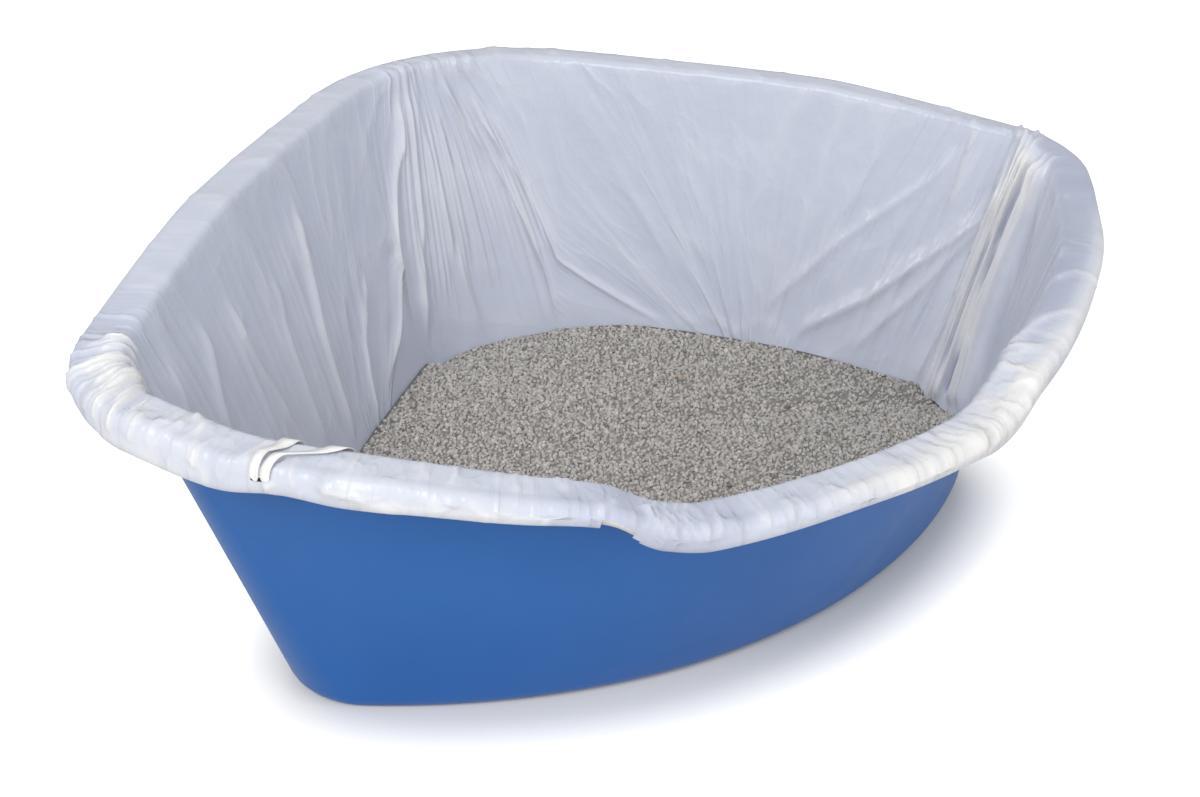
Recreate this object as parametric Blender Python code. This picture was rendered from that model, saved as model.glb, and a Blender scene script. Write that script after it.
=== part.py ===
"""A drawstring film liner fitted in its corner litter pan, with the tape in its hem and the litter on it.

Metres, +Z up. The pan's flat base stands on z = 0, its apex points to +Y and its low entry faces -Y.
Every piece follows one reference surface, the side of the pan that the film lies on, and stands off it.
"""
import math

import bmesh
import bpy
import numpy as np

# Plan of the pan's rim: sharp corners of the lip's outer edge, the bow of each side and the rounding of each corner
RIM_APEX_Y = 0.2853
RIM_CORNER_X = 0.3383
RIM_CORNER_Y = -0.0529
RIM_LEG_BOW = 0.0143
RIM_FRONT_BOW = 0.2025
RIM_APEX_RADIUS = 0.150
RIM_CORNER_RADIUS = 0.0523

# Plan of the pan's floor, at the sharp corner between floor and wall
BASE_APEX_Y = 0.1930
BASE_CORNER_X = 0.2565
BASE_CORNER_Y = -0.0655
BASE_LEG_BOW = 0.0010
BASE_FRONT_BOW = 0.0995
BASE_APEX_RADIUS = 0.062
BASE_CORNER_RADIUS = 0.0405

# Height of the lip by bearing, in degrees round from the middle of the entry to the apex
BEARING_CENTRE_Y = -0.0213
RIM_HEIGHTS = (
    (0, 0.160),    # middle of the entry
    (21, 0.159),   # end of the entry
    (27, 0.164),
    (33, 0.1765),  # shoulder beside the entry
    (40, 0.183),
    (57, 0.195),
    (68, 0.199),   # front corner
    (76, 0.208),
    (92, 0.2265),  # start of the back wall
    (104, 0.238),
    (114, 0.2445),
    (140, 0.2495),
    (180, 0.255),  # apex
)

# Pan section
WALL = 0.0025
FLOOR_FILLET = 0.012
LIP_WIDTH = 0.0215
LIP_FALL = 0.0012
LIP_INNER_RADIUS = 0.0045
LIP_OUTER_RADIUS = 0.0040
SKIRT = 0.0095  # from the lip's top to where the hem curls under
PAN_SKIRT = 0.5  # share of the straight skirt that the pan's own lip reaches

# Film, its hem and the tape in the hem
FILM = 0.0006
FILM_STAND_OFF = 0.0009
CLEARANCE = 0.00035
TAPE_WIDTH = 0.0055
TAPE_THICKNESS = 0.0005
HEM_CURL_RADIUS = 0.0030
HEM_TUCK = 0.0030
TUNNEL_TUCK = 0.6  # share of the tuck that the hem's tunnel reaches
HEM_PUFF = 0.0016

# Litter: its height against the wall by place round the pan, and how far it is heaped in the middle
LITTER_HEIGHTS = (
    (0.0, 0.052),  # apex
    (0.9, 0.058),
    (1.25, 0.070),  # heaped against the right-hand back wall
    (1.6, 0.066),
    (2.0, 0.050),
    (2.4, 0.037),  # right-hand corner
    (3.2, 0.048),
    (5.0, 0.052),  # left-hand corner
    (6.6, 0.059),
    (6.95, 0.060),
    (7.4, 0.050),
    (8.0, 0.052),
)
LITTER_CROWN = 0.010
LITTER_MIDDLE_Y = 0.010
LITTER_RINGS = (0.85, 0.6, 0.3)
LITTER_LUMP = 0.0014  # rise and dip of the raked surface
LITTER_LUMP_TURN = 0.55  # from one station of the film to the next
LITTER_LUMP_PHASE = 9.0  # from the middle to the edge

# Steps of each half of the entry, shared by the pan and the film
FRONT_STEPS = 12

# Notches in the hem, by place round the pan, and the loop of tape that is pulled out of the left one
LEFT_NOTCH_PLACE = 4.80
FRONT_NOTCH_PLACE = 4.345
LEFT_NOTCH_WIDTH = 0.026
FRONT_NOTCH_WIDTH = 0.030
FRONT_NOTCH_TOP = 0.15  # share of its width at the top, where the hem is slit and its lower edge pulled aside
LOOP_TURN_RADIUS = 0.0055
LOOP_ARM_SHIFTS = (-0.0057, -0.0320)
LOOP_DEPTH = 0.012
LOOP_OVER_HEM = 0.0032
LOOP_LET_DOWN = 1.5  # the arm lies flat again from half of this share of its way to the wall
LOOP_ARM_STEPS = 16
LOOP_TURN_STEPS = 4
LOOP_BIGHT_STEPS = 12
NOTCH_WINDOW = 2.5  # half width of the pulled-out part, in turn radii

# Bays of the film, clockwise from the left-hand side of the apex. Each ends at a place on the rim and a place
# at the litter, so that its folds run between the two, and has its count of folds and their heights on the
# wall and on the rim. A bay with no folds has plain steps instead.
FIRST_BAY_AT_RIM = 7.50
FIRST_BAY_AT_LITTER = 6.76
BAYS = (
    # rim, litter, folds, steps, wall fold, rim fold
    (8.15, 9.35, 10, 0, 0.0045, 0.0006),  # gathers that fan out of the back corner
    (9.00, 9.44, 0, 4, 0, 0),  # smooth panel of the right-hand back wall
    (9.75, 9.55, 0, 4, 0, 0),
    (10.00, 9.95, 3, 0, 0.0045, 0.0010),  # gathers that fan out of the right-hand corner
    (10.75, 10.60, 4, 0, 0.0060, 0.0012),  # deep pleats in that corner
    (11.00, 11.00, 0, 2, 0, 0),
    (12.00, 12.00, 0, FRONT_STEPS, 0, 0),  # entry, from the right-hand corner to the middle
    (12.00 + 8 / FRONT_STEPS, 12.00 + 8 / FRONT_STEPS, 0, 8, 0, 0),  # front notch
    (12.00 + 11 / FRONT_STEPS, 12.00 + 11 / FRONT_STEPS, 0, 6, 0, 0),  # left notch
    (13.00, 13.00, 0, 3 * (FRONT_STEPS - 11), 0, 0),
    (14.00, 14.00, 6, 0, 0.0020, 0.0014),  # fine pleats round the left-hand corner
    (14.70, 14.62, 4, 0, 0.0030, 0),  # soft folds of the left-hand wall
    (15.00, 14.68, 0, 2, 0, 0),
    (15.50, 14.76, 0, 3, 0, 0),
)
FOLD_AT_RIM = 0.15

# Fineness of the meshes
PAN_STEPS = (7, 5, 6, FRONT_STEPS)
WALL_STEPS = 5

# Sections of the reference surface, in the order floor fillet, wall, lip, skirt, hem
FLOOR_EDGE, WALL_FOOT, WALL_TOP, LIP_START, LIP_END, SKIRT_TOP, SKIRT_END, CURL_END, TUCK_END = range(9)
PLACES = 8
STEP = 1e-4


def unit(vector):
    """Return the vector at length one."""
    return vector / np.linalg.norm(vector)


def smooth_table(table, at):
    """Read a table of (place, value) pairs with a smooth curve that never overshoots them."""
    x = [row[0] for row in table]
    y = [row[1] for row in table]
    slopes = [(y[i + 1] - y[i]) / (x[i + 1] - x[i]) for i in range(len(x) - 1)]
    grade = [0.0]
    for before, after in zip(slopes, slopes[1:]):
        same_way = before * after > 0
        grade.append(2 * before * after / (before + after) if same_way else 0.0)
    grade.append(0.0)
    at = min(max(at, x[0]), x[-1])
    i = max(k for k in range(len(x) - 1) if x[k] <= at)
    width = x[i + 1] - x[i]
    t = (at - x[i]) / width
    rise = t * t * (3 - 2 * t)
    start = t * (1 - t) ** 2 * width * grade[i]
    end = t * t * (t - 1) * width * grade[i + 1]
    return y[i] + (y[i + 1] - y[i]) * rise + start + end


def bowed_side(start, end, bow):
    """Return the centre and radius of the arc from start to end that bulges to the left by bow."""
    middle = (start + end) / 2
    half = np.linalg.norm(end - start) / 2
    along = (end - start) / (2 * half)
    outward = np.array([-along[1], along[0]])
    radius = (half * half + bow * bow) / (2 * bow)
    return middle + outward * (bow - radius), radius


def corner_centre(side_a, side_b, radius, corner):
    """Return the centre of the fillet that touches two bowed sides from inside, next to their corner."""
    (centre_a, radius_a), (centre_b, radius_b) = side_a, side_b
    reach_a, reach_b = radius_a - radius, radius_b - radius
    apart = np.linalg.norm(centre_b - centre_a)
    along = (centre_b - centre_a) / apart
    across = np.array([-along[1], along[0]])
    x = (reach_a ** 2 - reach_b ** 2 + apart ** 2) / (2 * apart)
    y = math.sqrt(reach_a ** 2 - x ** 2)
    choices = [centre_a + along * x + across * side * y for side in (1, -1)]
    return min(choices, key=lambda centre: np.linalg.norm(centre - corner))


def half_outline(apex_y, corner_x, corner_y, leg_bow, front_bow, apex_radius, corner_radius):
    """Return the right half of a pan outline as four arcs: apex, leg, corner and front.

    Each arc is its centre, its radius, and its first and last angle. All run clockwise, seen from above.
    """
    apex = np.array([0.0, apex_y])
    right = np.array([corner_x, corner_y])
    left = np.array([-corner_x, corner_y])
    left_leg = bowed_side(left, apex, leg_bow)
    leg = bowed_side(apex, right, leg_bow)
    front = bowed_side(right, left, front_bow)
    apex_centre = corner_centre(left_leg, leg, apex_radius, apex)
    corner = corner_centre(leg, front, corner_radius, right)

    def bearing(centre, point):
        return math.atan2(point[1] - centre[1], point[0] - centre[0])

    leg_start = bearing(leg[0], apex_centre)
    leg_end = bearing(leg[0], corner)
    front_start = bearing(front[0], corner)
    return (
        (apex_centre, apex_radius, math.pi / 2, leg_start),
        (leg[0], leg[1], leg_start, leg_end),
        (corner, corner_radius, leg_end, front_start),
        (front[0], front[1], front_start, -math.pi / 2),
    )


RIM = half_outline(RIM_APEX_Y, RIM_CORNER_X, RIM_CORNER_Y, RIM_LEG_BOW, RIM_FRONT_BOW,
                   RIM_APEX_RADIUS, RIM_CORNER_RADIUS)
BASE = half_outline(BASE_APEX_Y, BASE_CORNER_X, BASE_CORNER_Y, BASE_LEG_BOW, BASE_FRONT_BOW,
                    BASE_APEX_RADIUS, BASE_CORNER_RADIUS)


def plan_point(outline, place):
    """Return the point and outward direction at a place, 0 to 8 clockwise from the apex, one per arc."""
    place = place % PLACES
    side = 1
    if place > PLACES / 2:
        place = PLACES - place
        side = -1
    index = min(int(place), 3)
    centre, radius, first, last = outline[index]
    angle = first + (last - first) * (place - index)
    outward = np.array([math.cos(angle), math.sin(angle), 0.0])
    point = np.array([centre[0], centre[1], 0.0]) + radius * outward
    mirror = np.array([side, 1, 1])
    return point * mirror, outward * mirror


def bearing_of(point):
    """Return the bearing in degrees of a plan point, 0 at the entry's middle and 180 at the apex."""
    return math.degrees(math.atan2(abs(point[0]), BEARING_CENTRE_Y - point[1]))


def rounded(corner, into, away, radius, share):
    """Return the point at a share of the arc that rounds a corner between two directions."""
    turn = math.acos(max(-1.0, min(1.0, float(np.dot(into, away)))))
    start = corner - into * radius * math.tan(turn / 2)
    across = unit(away - into * np.dot(into, away))
    angle = turn * share
    return start + radius * (into * math.sin(angle) + across * (1 - math.cos(angle)))


def surface(place, section):
    """Return the point of the reference surface at a place round the pan and a section up its side."""
    up = np.array([0.0, 0.0, 1.0])
    rim, outward = plan_point(RIM, place)
    base, _ = plan_point(BASE, place)
    height = smooth_table(RIM_HEIGHTS, bearing_of(rim))
    crest_out = rim + up * (height - LIP_FALL)
    crest_in = rim - outward * LIP_WIDTH + up * height
    foot = base + up * WALL
    climb = unit(crest_in - foot)
    flat = unit((crest_in - foot) * np.array([1, 1, 0]))
    across_lip = unit(crest_out - crest_in)
    index = min(int(section), TUCK_END - 1)
    share = section - index
    if index == FLOOR_EDGE:
        return rounded(foot, flat, climb, FLOOR_FILLET, share)
    if index == WALL_FOOT:
        low = rounded(foot, flat, climb, FLOOR_FILLET, 1)
        high = rounded(crest_in, climb, across_lip, LIP_INNER_RADIUS, 0)
        return low + (high - low) * share
    if index == WALL_TOP:
        return rounded(crest_in, climb, across_lip, LIP_INNER_RADIUS, share)
    if index == LIP_START:
        low = rounded(crest_in, climb, across_lip, LIP_INNER_RADIUS, 1)
        high = rounded(crest_out, across_lip, -up, LIP_OUTER_RADIUS, 0)
        return low + (high - low) * share
    if index == LIP_END:
        return rounded(crest_out, across_lip, -up, LIP_OUTER_RADIUS, share)
    skirt_end = rim + up * (height - SKIRT)
    if index == SKIRT_TOP:
        low = rounded(crest_out, across_lip, -up, LIP_OUTER_RADIUS, 1)
        return low + (skirt_end - low) * share
    if index == SKIRT_END:
        return rounded(skirt_end - up * HEM_CURL_RADIUS, -up, -outward, HEM_CURL_RADIUS, share)
    curl_end = skirt_end - (up + outward) * HEM_CURL_RADIUS
    return curl_end - outward * HEM_TUCK * share


def stand_off(place, section, distance):
    """Return the point that stands off the reference surface by a distance, on the film's side."""
    along = surface(place + STEP, section) - surface(place - STEP, section)
    low = max(section - STEP, FLOOR_EDGE)
    high = min(section + STEP, TUCK_END)
    across = surface(place, high) - surface(place, low)
    return surface(place, section) + unit(np.cross(along, across)) * distance


def material(name, colour, roughness, metallic=0.0):
    """Return a plain finish."""
    finish = bpy.data.materials.new(name)
    finish.use_nodes = True
    shader = finish.node_tree.nodes["Principled BSDF"]
    shader.inputs["Base Color"].default_value = (*colour, 1.0)
    shader.inputs["Roughness"].default_value = roughness
    shader.inputs["Metallic"].default_value = metallic
    return finish


def loft(name, rings, finish, turn, closed_tube=False, peak=None):
    """Make one solid from rings of equal count, each a closed loop round the pan.

    Up to the ring numbered turn the rings run along the solid's face, and from it back along its other side.
    The quads of both sides are split on the same diagonal, so that a thin wall stays even where it is folded.
    The first and last rings get flat caps, or join each other if the rings close to a tube. With a peak, the
    last ring closes to that point instead.
    """
    count = len(rings[0])
    points = [point for ring in rings for point in ring]
    faces = []
    bands = len(rings) if closed_tube else len(rings) - 1
    for r in range(bands):
        low = r * count
        high = ((r + 1) % len(rings)) * count
        for i in range(count):
            j = (i + 1) % count
            if r < turn:
                faces += [(low + i, low + j, high + j), (low + i, high + j, high + i)]
            else:
                faces += [(low + i, low + j, high + i), (low + j, high + j, high + i)]
    if not closed_tube:
        faces.append(tuple(range(count - 1, -1, -1)))
        last = (len(rings) - 1) * count
        if peak is None:
            faces.append(tuple(last + i for i in range(count)))
        else:
            points.append(peak)
            faces += [(last + i, last + (i + 1) % count, len(points) - 1) for i in range(count)]
    mesh = bpy.data.meshes.new(name)
    mesh.from_pydata([tuple(point) for point in points], [], faces)
    mesh.materials.append(finish)
    shape = bmesh.new()
    shape.from_mesh(mesh)
    bmesh.ops.recalc_face_normals(shape, faces=shape.faces)
    shape.to_mesh(mesh)
    shape.free()
    piece = bpy.data.objects.new(name, mesh)
    bpy.context.collection.objects.link(piece)
    return piece


def clear_scene():
    """Remove every object of the open scene."""
    for old in list(bpy.data.objects):
        bpy.data.objects.remove(old, do_unlink=True)


def litter_section(place):
    """Return the section at which the litter meets the wall."""
    foot = surface(place, WALL_FOOT)[2]
    top = surface(place, WALL_TOP)[2]
    return WALL_FOOT + (smooth_table(LITTER_HEIGHTS, place % PLACES) - foot) / (top - foot)


class Station:
    """One line of the film from the floor to the hem, which leans along the wall where the film is gathered."""

    def __init__(self, rim, low, fold, rim_fold):
        self.rim = rim
        self.low = low
        self.fold = fold
        self.rim_fold = rim_fold
        self.litter = litter_section(low)

    def rise(self, section):
        """Return how far up the bare wall a section is, from 0 at the litter to 1 at the top."""
        return min(max((section - self.litter) / (WALL_TOP - self.litter), 0.0), 1.0)

    def place(self, section):
        """Return the place round the pan at a section."""
        return self.low + (self.rim - self.low) * self.rise(section)

    def lift(self, section):
        """Return how far the fold stands off at a section."""
        if section <= WALL_FOOT or section > LIP_END:
            return 0.0
        if section < self.litter:
            return self.fold * (section - WALL_FOOT) / (self.litter - WALL_FOOT)
        if section < WALL_TOP:
            rise = self.rise(section)
            return self.fold * (1 - rise) + max(self.fold * FOLD_AT_RIM, self.rim_fold) * rise
        return self.rim_fold

    def point(self, section, distance):
        """Return the point of the film at a section and a distance off the reference surface."""
        return stand_off(self.place(section), section, distance)

    def sections(self):
        """Return the sections of the film from the floor to the seam of the hem."""
        wall = [self.litter + (WALL_TOP - self.litter) * k / WALL_STEPS for k in range(WALL_STEPS)]
        lip = [WALL_TOP, WALL_TOP + 1 / 3, WALL_TOP + 2 / 3, LIP_START, LIP_END, LIP_END + 1 / 3]
        return [FLOOR_EDGE, FLOOR_EDGE + 0.5, WALL_FOOT] + wall + lip


def film_stations():
    """Return the stations of the film, two for each fold: its crest and its valley."""
    stations = []
    rim, low = FIRST_BAY_AT_RIM, FIRST_BAY_AT_LITTER
    for rim_end, low_end, folds, steps, wall_fold, rim_fold in BAYS:
        count = 2 * folds or steps
        for k in range(count):
            share = k / count
            crest = k % 2 if folds else 0
            stations.append(Station(rim + (rim_end - rim) * share, low + (low_end - low) * share,
                                    wall_fold * crest, rim_fold * crest))
        rim, low = rim_end, low_end
    return stations


UNDER = FILM_STAND_OFF
TOP = UNDER + FILM
TUNNEL = TAPE_THICKNESS + 2 * CLEARANCE
FLAP = TOP + TUNNEL
SEAM = LIP_END + 2 / 3
HEM_SECTIONS = (SKIRT_TOP, SKIRT_TOP + 0.5, SKIRT_END, SKIRT_END + 0.5, CURL_END)
HIDDEN_HEM_SECTIONS = (SKIRT_TOP, SKIRT_END, SKIRT_END + 0.5, CURL_END)
LIP_RINGS = 6
LITTER_SECTIONS = (0, 2, 3)


def puff(station, section):
    """Return how far the hem's outer ply stands off its flat form."""
    share = min(max((section - SEAM) / (CURL_END - SEAM), 0.0), 1.0)
    return HEM_PUFF * math.sin(math.pi * share) + station.rim_fold * (1 - share)


def film_rings(stations):
    """Return the rings of the film: up its face to the hem, round the mouth and back along its underside."""
    columns = []
    for station in stations:
        main = station.sections()
        hidden = main[:-LIP_RINGS] + [WALL_TOP, WALL_TOP + 0.5, LIP_START, LIP_END, LIP_END + 0.5]
        column = [station.point(section, TOP + station.lift(section)) for section in main]
        column.append(station.point(SEAM, TOP + FILM))
        column += [station.point(section, FLAP + FILM + puff(station, section)) for section in HEM_SECTIONS]
        column.append(station.point(TUCK_END, FLAP + FILM))
        column.append(station.point(TUCK_END, UNDER))
        column += [station.point(section, UNDER) for section in reversed(HIDDEN_HEM_SECTIONS)]
        column += [station.point(section, UNDER + station.lift(section)) for section in reversed(hidden)]
        columns.append(column)
    return list(zip(*columns))


def tunnel_rings(stations):
    """Return the rings of the hollow between the hem's two plies."""
    seam_end = (SEAM + SKIRT_TOP) / 2
    columns = []
    for station in stations:
        column = [station.point(seam_end, TOP + FILM / 2)]
        column += [station.point(section, FLAP + puff(station, section)) for section in HEM_SECTIONS]
        column.append(station.point(CURL_END + TUNNEL_TUCK, TOP + TUNNEL / 2))
        column += [station.point(section, TOP) for section in reversed(HIDDEN_HEM_SECTIONS)]
        columns.append(column)
    return list(zip(*columns))


def make_pan(finish):
    """Make the pan: one moulded shell of even wall, open at the top."""
    places = []
    for arc, steps in enumerate(PAN_STEPS):
        places += [arc + k / steps for k in range(steps)]
    places += [PLACES - place for place in reversed(places[1:] + [PLACES / 2])]
    third = 1 / 3
    lip_foot = SKIRT_TOP + PAN_SKIRT
    face = [FLOOR_EDGE, third, 2 * third]
    face += [WALL_FOOT + k / WALL_STEPS for k in range(WALL_STEPS)]
    face += [WALL_TOP, WALL_TOP + third, WALL_TOP + 2 * third, LIP_START,
             LIP_END, LIP_END + third, LIP_END + 2 * third, SKIRT_TOP, lip_foot]
    back = [lip_foot, SKIRT_TOP, LIP_END, LIP_START, WALL_TOP, WALL_FOOT + 0.5,
            WALL_FOOT, 2 * third, third, FLOOR_EDGE]
    rings = [[stand_off(place, section, 0) for place in places] for section in face]
    rings += [[stand_off(place, section, -WALL) for place in places] for section in back]
    return loft("litter_pan", rings, finish, turn=len(face))


def make_litter(stations, finish):
    """Make the litter: it fills the lined pan to its line at the wall and is heaped in the middle."""
    side = TOP + CLEARANCE
    rings = []
    for k in LITTER_SECTIONS:
        rings.append([each.point(each.sections()[k], side + each.lift(each.sections()[k])) for each in stations])
    edge = [each.point(each.litter, side) for each in stations]
    flat = np.array([1.0, 1.0, 0.0])
    middle = np.array([0.0, LITTER_MIDDLE_Y, 0.0])
    level = sum(point[2] for point in edge) / len(edge)

    def heaped(point, share):
        height = point[2] * share + level * (1 - share) + LITTER_CROWN * (1 - share * share)
        return (middle + (point * flat - middle) * share) + np.array([0.0, 0.0, height])

    def lump(station, share):
        """Return how far the raked surface rises or dips, in lumps about one spacing apart."""
        round_the_pan = math.sin(station * LITTER_LUMP_TURN + share * LITTER_LUMP_PHASE)
        return np.array([0.0, 0.0, LITTER_LUMP * round_the_pan])

    for share in LITTER_RINGS:
        rings.append([heaped(point, share) + lump(k, share) for k, point in enumerate(edge)])
    return loft("litter_bed", rings, finish, turn=len(rings), peak=heaped(middle, 0.0))


def reach_table(place):
    """Return the distances out over the rim from the top of the wall, and the section at each."""
    wall = np.linalg.norm(surface(place, WALL_TOP) - surface(place, WALL_FOOT))
    reaches = [-wall, 0.0]
    sections = [WALL_FOOT, WALL_TOP]
    for step in range(WALL_TOP * 4, CURL_END * 4):
        travel = np.linalg.norm(surface(place, (step + 1) / 4) - surface(place, step / 4))
        reaches.append(reaches[-1] + travel)
        sections.append((step + 1) / 4)
    return reaches, sections


def loop_route(mid_tape):
    """Return the middle line of the pulled-out loop, laid flat.

    The tape leaves the hem on one side of the notch, turns up, crosses the lip, hangs down the wall, and comes
    back the same way to the other side of the notch. Each point is its shift round the pan, its reach out over
    the rim, its distance off the pan and the direction of travel as (shift, reach).
    """
    turn = LOOP_TURN_RADIUS
    flat = TOP + CLEARANCE
    over_hem = LOOP_OVER_HEM - flat
    arms = []
    for side, target in zip((1, -1), LOOP_ARM_SHIFTS):
        arm = []
        for k in range(LOOP_TURN_STEPS + 1):
            angle = math.pi / 2 * k / LOOP_TURN_STEPS
            arm.append((side * turn * (2 - math.sin(angle)), mid_tape - turn * (1 - math.cos(angle)),
                        flat + over_hem * min(1.0, 2 * k / LOOP_TURN_STEPS), (-math.cos(angle), -side * math.sin(angle))))
        for k in range(1, LOOP_ARM_STEPS + 1):
            share = k / LOOP_ARM_STEPS
            ease = share * share * (3 - 2 * share)
            lift = over_hem * min(max(LOOP_LET_DOWN - 2 * share, 0.0), 1.0)
            arm.append((side * turn * (1 - ease) + target * ease, (mid_tape - turn) * (1 - share),
                        flat + lift, (0.0, -side)))
        arms.append(arm)
    radius = (LOOP_ARM_SHIFTS[0] - LOOP_ARM_SHIFTS[1]) / 2
    middle = (LOOP_ARM_SHIFTS[0] + LOOP_ARM_SHIFTS[1]) / 2
    bight = []
    for k in range(LOOP_BIGHT_STEPS + 1):
        angle = math.pi * k / LOOP_BIGHT_STEPS
        bight.append((middle + radius * math.cos(angle), -LOOP_DEPTH - radius * math.sin(angle), flat,
                      (-math.sin(angle), -math.cos(angle))))
    return arms[0] + bight + arms[1][::-1]


def make_tape(stations, finish):
    """Make the tape: flat in the hem all the way round, and pulled out over the rim at the left notch."""
    reaches, sections = reach_table(LEFT_NOTCH_PLACE)
    mid_tape = reaches[sections.index(SKIRT_TOP)] + TAPE_WIDTH / 2
    chord = surface(LEFT_NOTCH_PLACE + STEP, SKIRT_TOP) - surface(LEFT_NOTCH_PLACE - STEP, SKIRT_TOP)
    unit_length = np.linalg.norm(chord) / (2 * STEP)
    half = TAPE_WIDTH / 2
    low_edge = float(np.interp(mid_tape + half, reaches, sections))
    flat = TOP + CLEARANCE
    edges = []
    for shift, reach, distance, ahead in loop_route(mid_tape):
        pair = []
        for side in (1, -1):
            place = LEFT_NOTCH_PLACE + (shift - side * half * ahead[1]) / unit_length
            section = float(np.interp(reach + side * half * ahead[0], reaches, sections))
            pair.append((place, section, distance))
        edges.append(pair)
    window = NOTCH_WINDOW * LOOP_TURN_RADIUS / unit_length
    for ahead, rim in sorted((((LEFT_NOTCH_PLACE - each.rim) % PLACES, each.rim) for each in stations)):
        if window < ahead < PLACES - window:
            edges.append([(rim, SKIRT_TOP, flat), (rim, low_edge, flat)])
    rings = []
    for edge, thickness in ((0, 0), (1, 0), (1, TAPE_THICKNESS), (0, TAPE_THICKNESS)):
        rings.append([stand_off(pair[edge][0], pair[edge][1], pair[edge][2] + thickness) for pair in edges])
    return loft("drawstring", rings, finish, turn=2, closed_tube=True)


def notch_cutter(name, place, width, top=1.0):
    """Return the block that opens the hem's outer ply at a notch, hidden from view.

    Its right-hand side can slant, so that only a share of its width is left at the top.
    """
    rim, outward = plan_point(RIM, place)
    skirt_top = surface(place, SKIRT_TOP)
    height = SKIRT + 2 * HEM_CURL_RADIUS + TUNNEL
    depth = 4 * HEM_CURL_RADIUS
    bpy.ops.mesh.primitive_cube_add(size=1)
    cutter = bpy.context.object
    cutter.name = name
    for corner in cutter.data.vertices:
        if corner.co.z > 0 and corner.co.y > 0:
            corner.co.y = top - 0.5
    cutter.scale = (depth, width, height)
    cutter.rotation_euler = (0, 0, math.atan2(outward[1], outward[0]))
    centre = rim + outward * (TOP + CLEARANCE / 2 + depth / 2)
    cutter.location = (centre[0], centre[1], skirt_top[2] + LIP_OUTER_RADIUS / 2 - height / 2)
    cutter.display_type = "WIRE"
    cutter.hide_render = True
    return cutter


def make_film(stations, finish):
    """Make the film: one sheet on the pan, folded over its rim, with the hem's tunnel and its two notches."""
    face = len(stations[0].sections())
    film = loft("liner_film", film_rings(stations), finish, turn=face + len(HEM_SECTIONS) + 2)
    tunnel = loft("hem_tunnel", tunnel_rings(stations), finish, turn=len(HEM_SECTIONS) + 1, closed_tube=True)
    tunnel.display_type = "WIRE"
    tunnel.hide_render = True
    cutters = [
        tunnel,
        notch_cutter("left_notch", LEFT_NOTCH_PLACE, LEFT_NOTCH_WIDTH),
        notch_cutter("front_notch", FRONT_NOTCH_PLACE, FRONT_NOTCH_WIDTH, FRONT_NOTCH_TOP),
    ]
    for cutter in cutters:
        cut = film.modifiers.new(cutter.name, "BOOLEAN")
        cut.operation = "DIFFERENCE"
        cut.solver = "EXACT"
        cut.object = cutter
    return film


def main():
    """Make every piece."""
    clear_scene()
    blue = material("pan_blue", (0.045, 0.16, 0.50), 0.38)
    white = material("film_white", (0.80, 0.82, 0.87), 0.32)
    tape_white = material("tape_white", (0.88, 0.88, 0.87), 0.35)
    grey = material("litter_grey", (0.42, 0.40, 0.38), 0.95)
    stations = film_stations()
    make_pan(blue)
    make_film(stations, white)
    make_tape(stations, tape_white)
    make_litter(stations, grey)


main()
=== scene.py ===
"""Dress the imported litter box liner: fine film, tape, litter and pan, with a plain studio and the camera.

All pieces follow one reference surface, the side of the pan that the film lies on. A point of it has a place
round the pan, 0 to 8 clockwise from the apex, and a section up and over the side, as named in Section.
"""

import logging
import math
from dataclasses import dataclass, field
from enum import Enum, IntEnum

import bpy
import numpy as np
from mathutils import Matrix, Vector

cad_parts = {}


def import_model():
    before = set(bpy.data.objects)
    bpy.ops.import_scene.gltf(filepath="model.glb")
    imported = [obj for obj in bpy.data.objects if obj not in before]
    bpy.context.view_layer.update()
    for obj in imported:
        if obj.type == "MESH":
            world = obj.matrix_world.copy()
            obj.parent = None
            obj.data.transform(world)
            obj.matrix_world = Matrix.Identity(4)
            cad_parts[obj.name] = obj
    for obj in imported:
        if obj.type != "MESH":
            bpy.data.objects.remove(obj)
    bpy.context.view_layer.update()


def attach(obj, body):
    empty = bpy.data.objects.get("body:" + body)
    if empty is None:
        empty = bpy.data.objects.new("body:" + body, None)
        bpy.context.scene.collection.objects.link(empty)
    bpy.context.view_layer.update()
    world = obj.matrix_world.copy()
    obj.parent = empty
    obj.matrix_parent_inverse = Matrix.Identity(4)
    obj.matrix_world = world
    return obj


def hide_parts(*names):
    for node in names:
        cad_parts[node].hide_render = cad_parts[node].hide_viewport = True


LOG = logging.getLogger("liner_scene")
UP = np.array([0.0, 0.0, 1.0])
PLACES = 8
STEP = 1e-4

Rows = tuple[tuple[float, float], ...]
Colour = tuple[float, float, float]
Socket = bpy.types.NodeSocket

# Depth from the top of the rim to where the hem curls under, by place: it hangs lower beside the left notch
HEM_DEPTHS: Rows = ((0.0, 0.010), (2.0, 0.010), (3.0, 0.011), (3.7, 0.0115), (3.82, 0.0080), (4.0, 0.0072),
                    (4.2, 0.0090), (4.3, 0.0095), (4.385, 0.0062), (4.5, 0.0085), (4.6, 0.0100),
                    (4.7, 0.0120), (4.78, 0.0098), (4.88, 0.0150), (5.0, 0.0140), (5.2, 0.0120),
                    (6.0, 0.0105), (8.0, 0.010))


class Section(IntEnum):
    """Sections of the reference surface, from the floor up, over the rim and under its hem."""

    FLOOR_EDGE = 0
    WALL_FOOT = 1
    WALL_TOP = 2
    LIP_START = 3
    LIP_END = 4
    SKIRT_TOP = 5
    SKIRT_END = 6
    CURL_END = 7
    TUCK_END = 8


class Slot(Enum):
    """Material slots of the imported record."""

    PAN = "pan_plastic"
    FILM = "liner_film"
    TAPE = "drawstring_tape"
    LITTER = "clay_litter"


def unit(vectors: np.ndarray) -> np.ndarray:
    """Return the vectors at length one.

    Args:
        vectors: an array whose last axis holds x, y and z.
    """
    return vectors / np.linalg.norm(vectors, axis=-1, keepdims=True)


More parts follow.
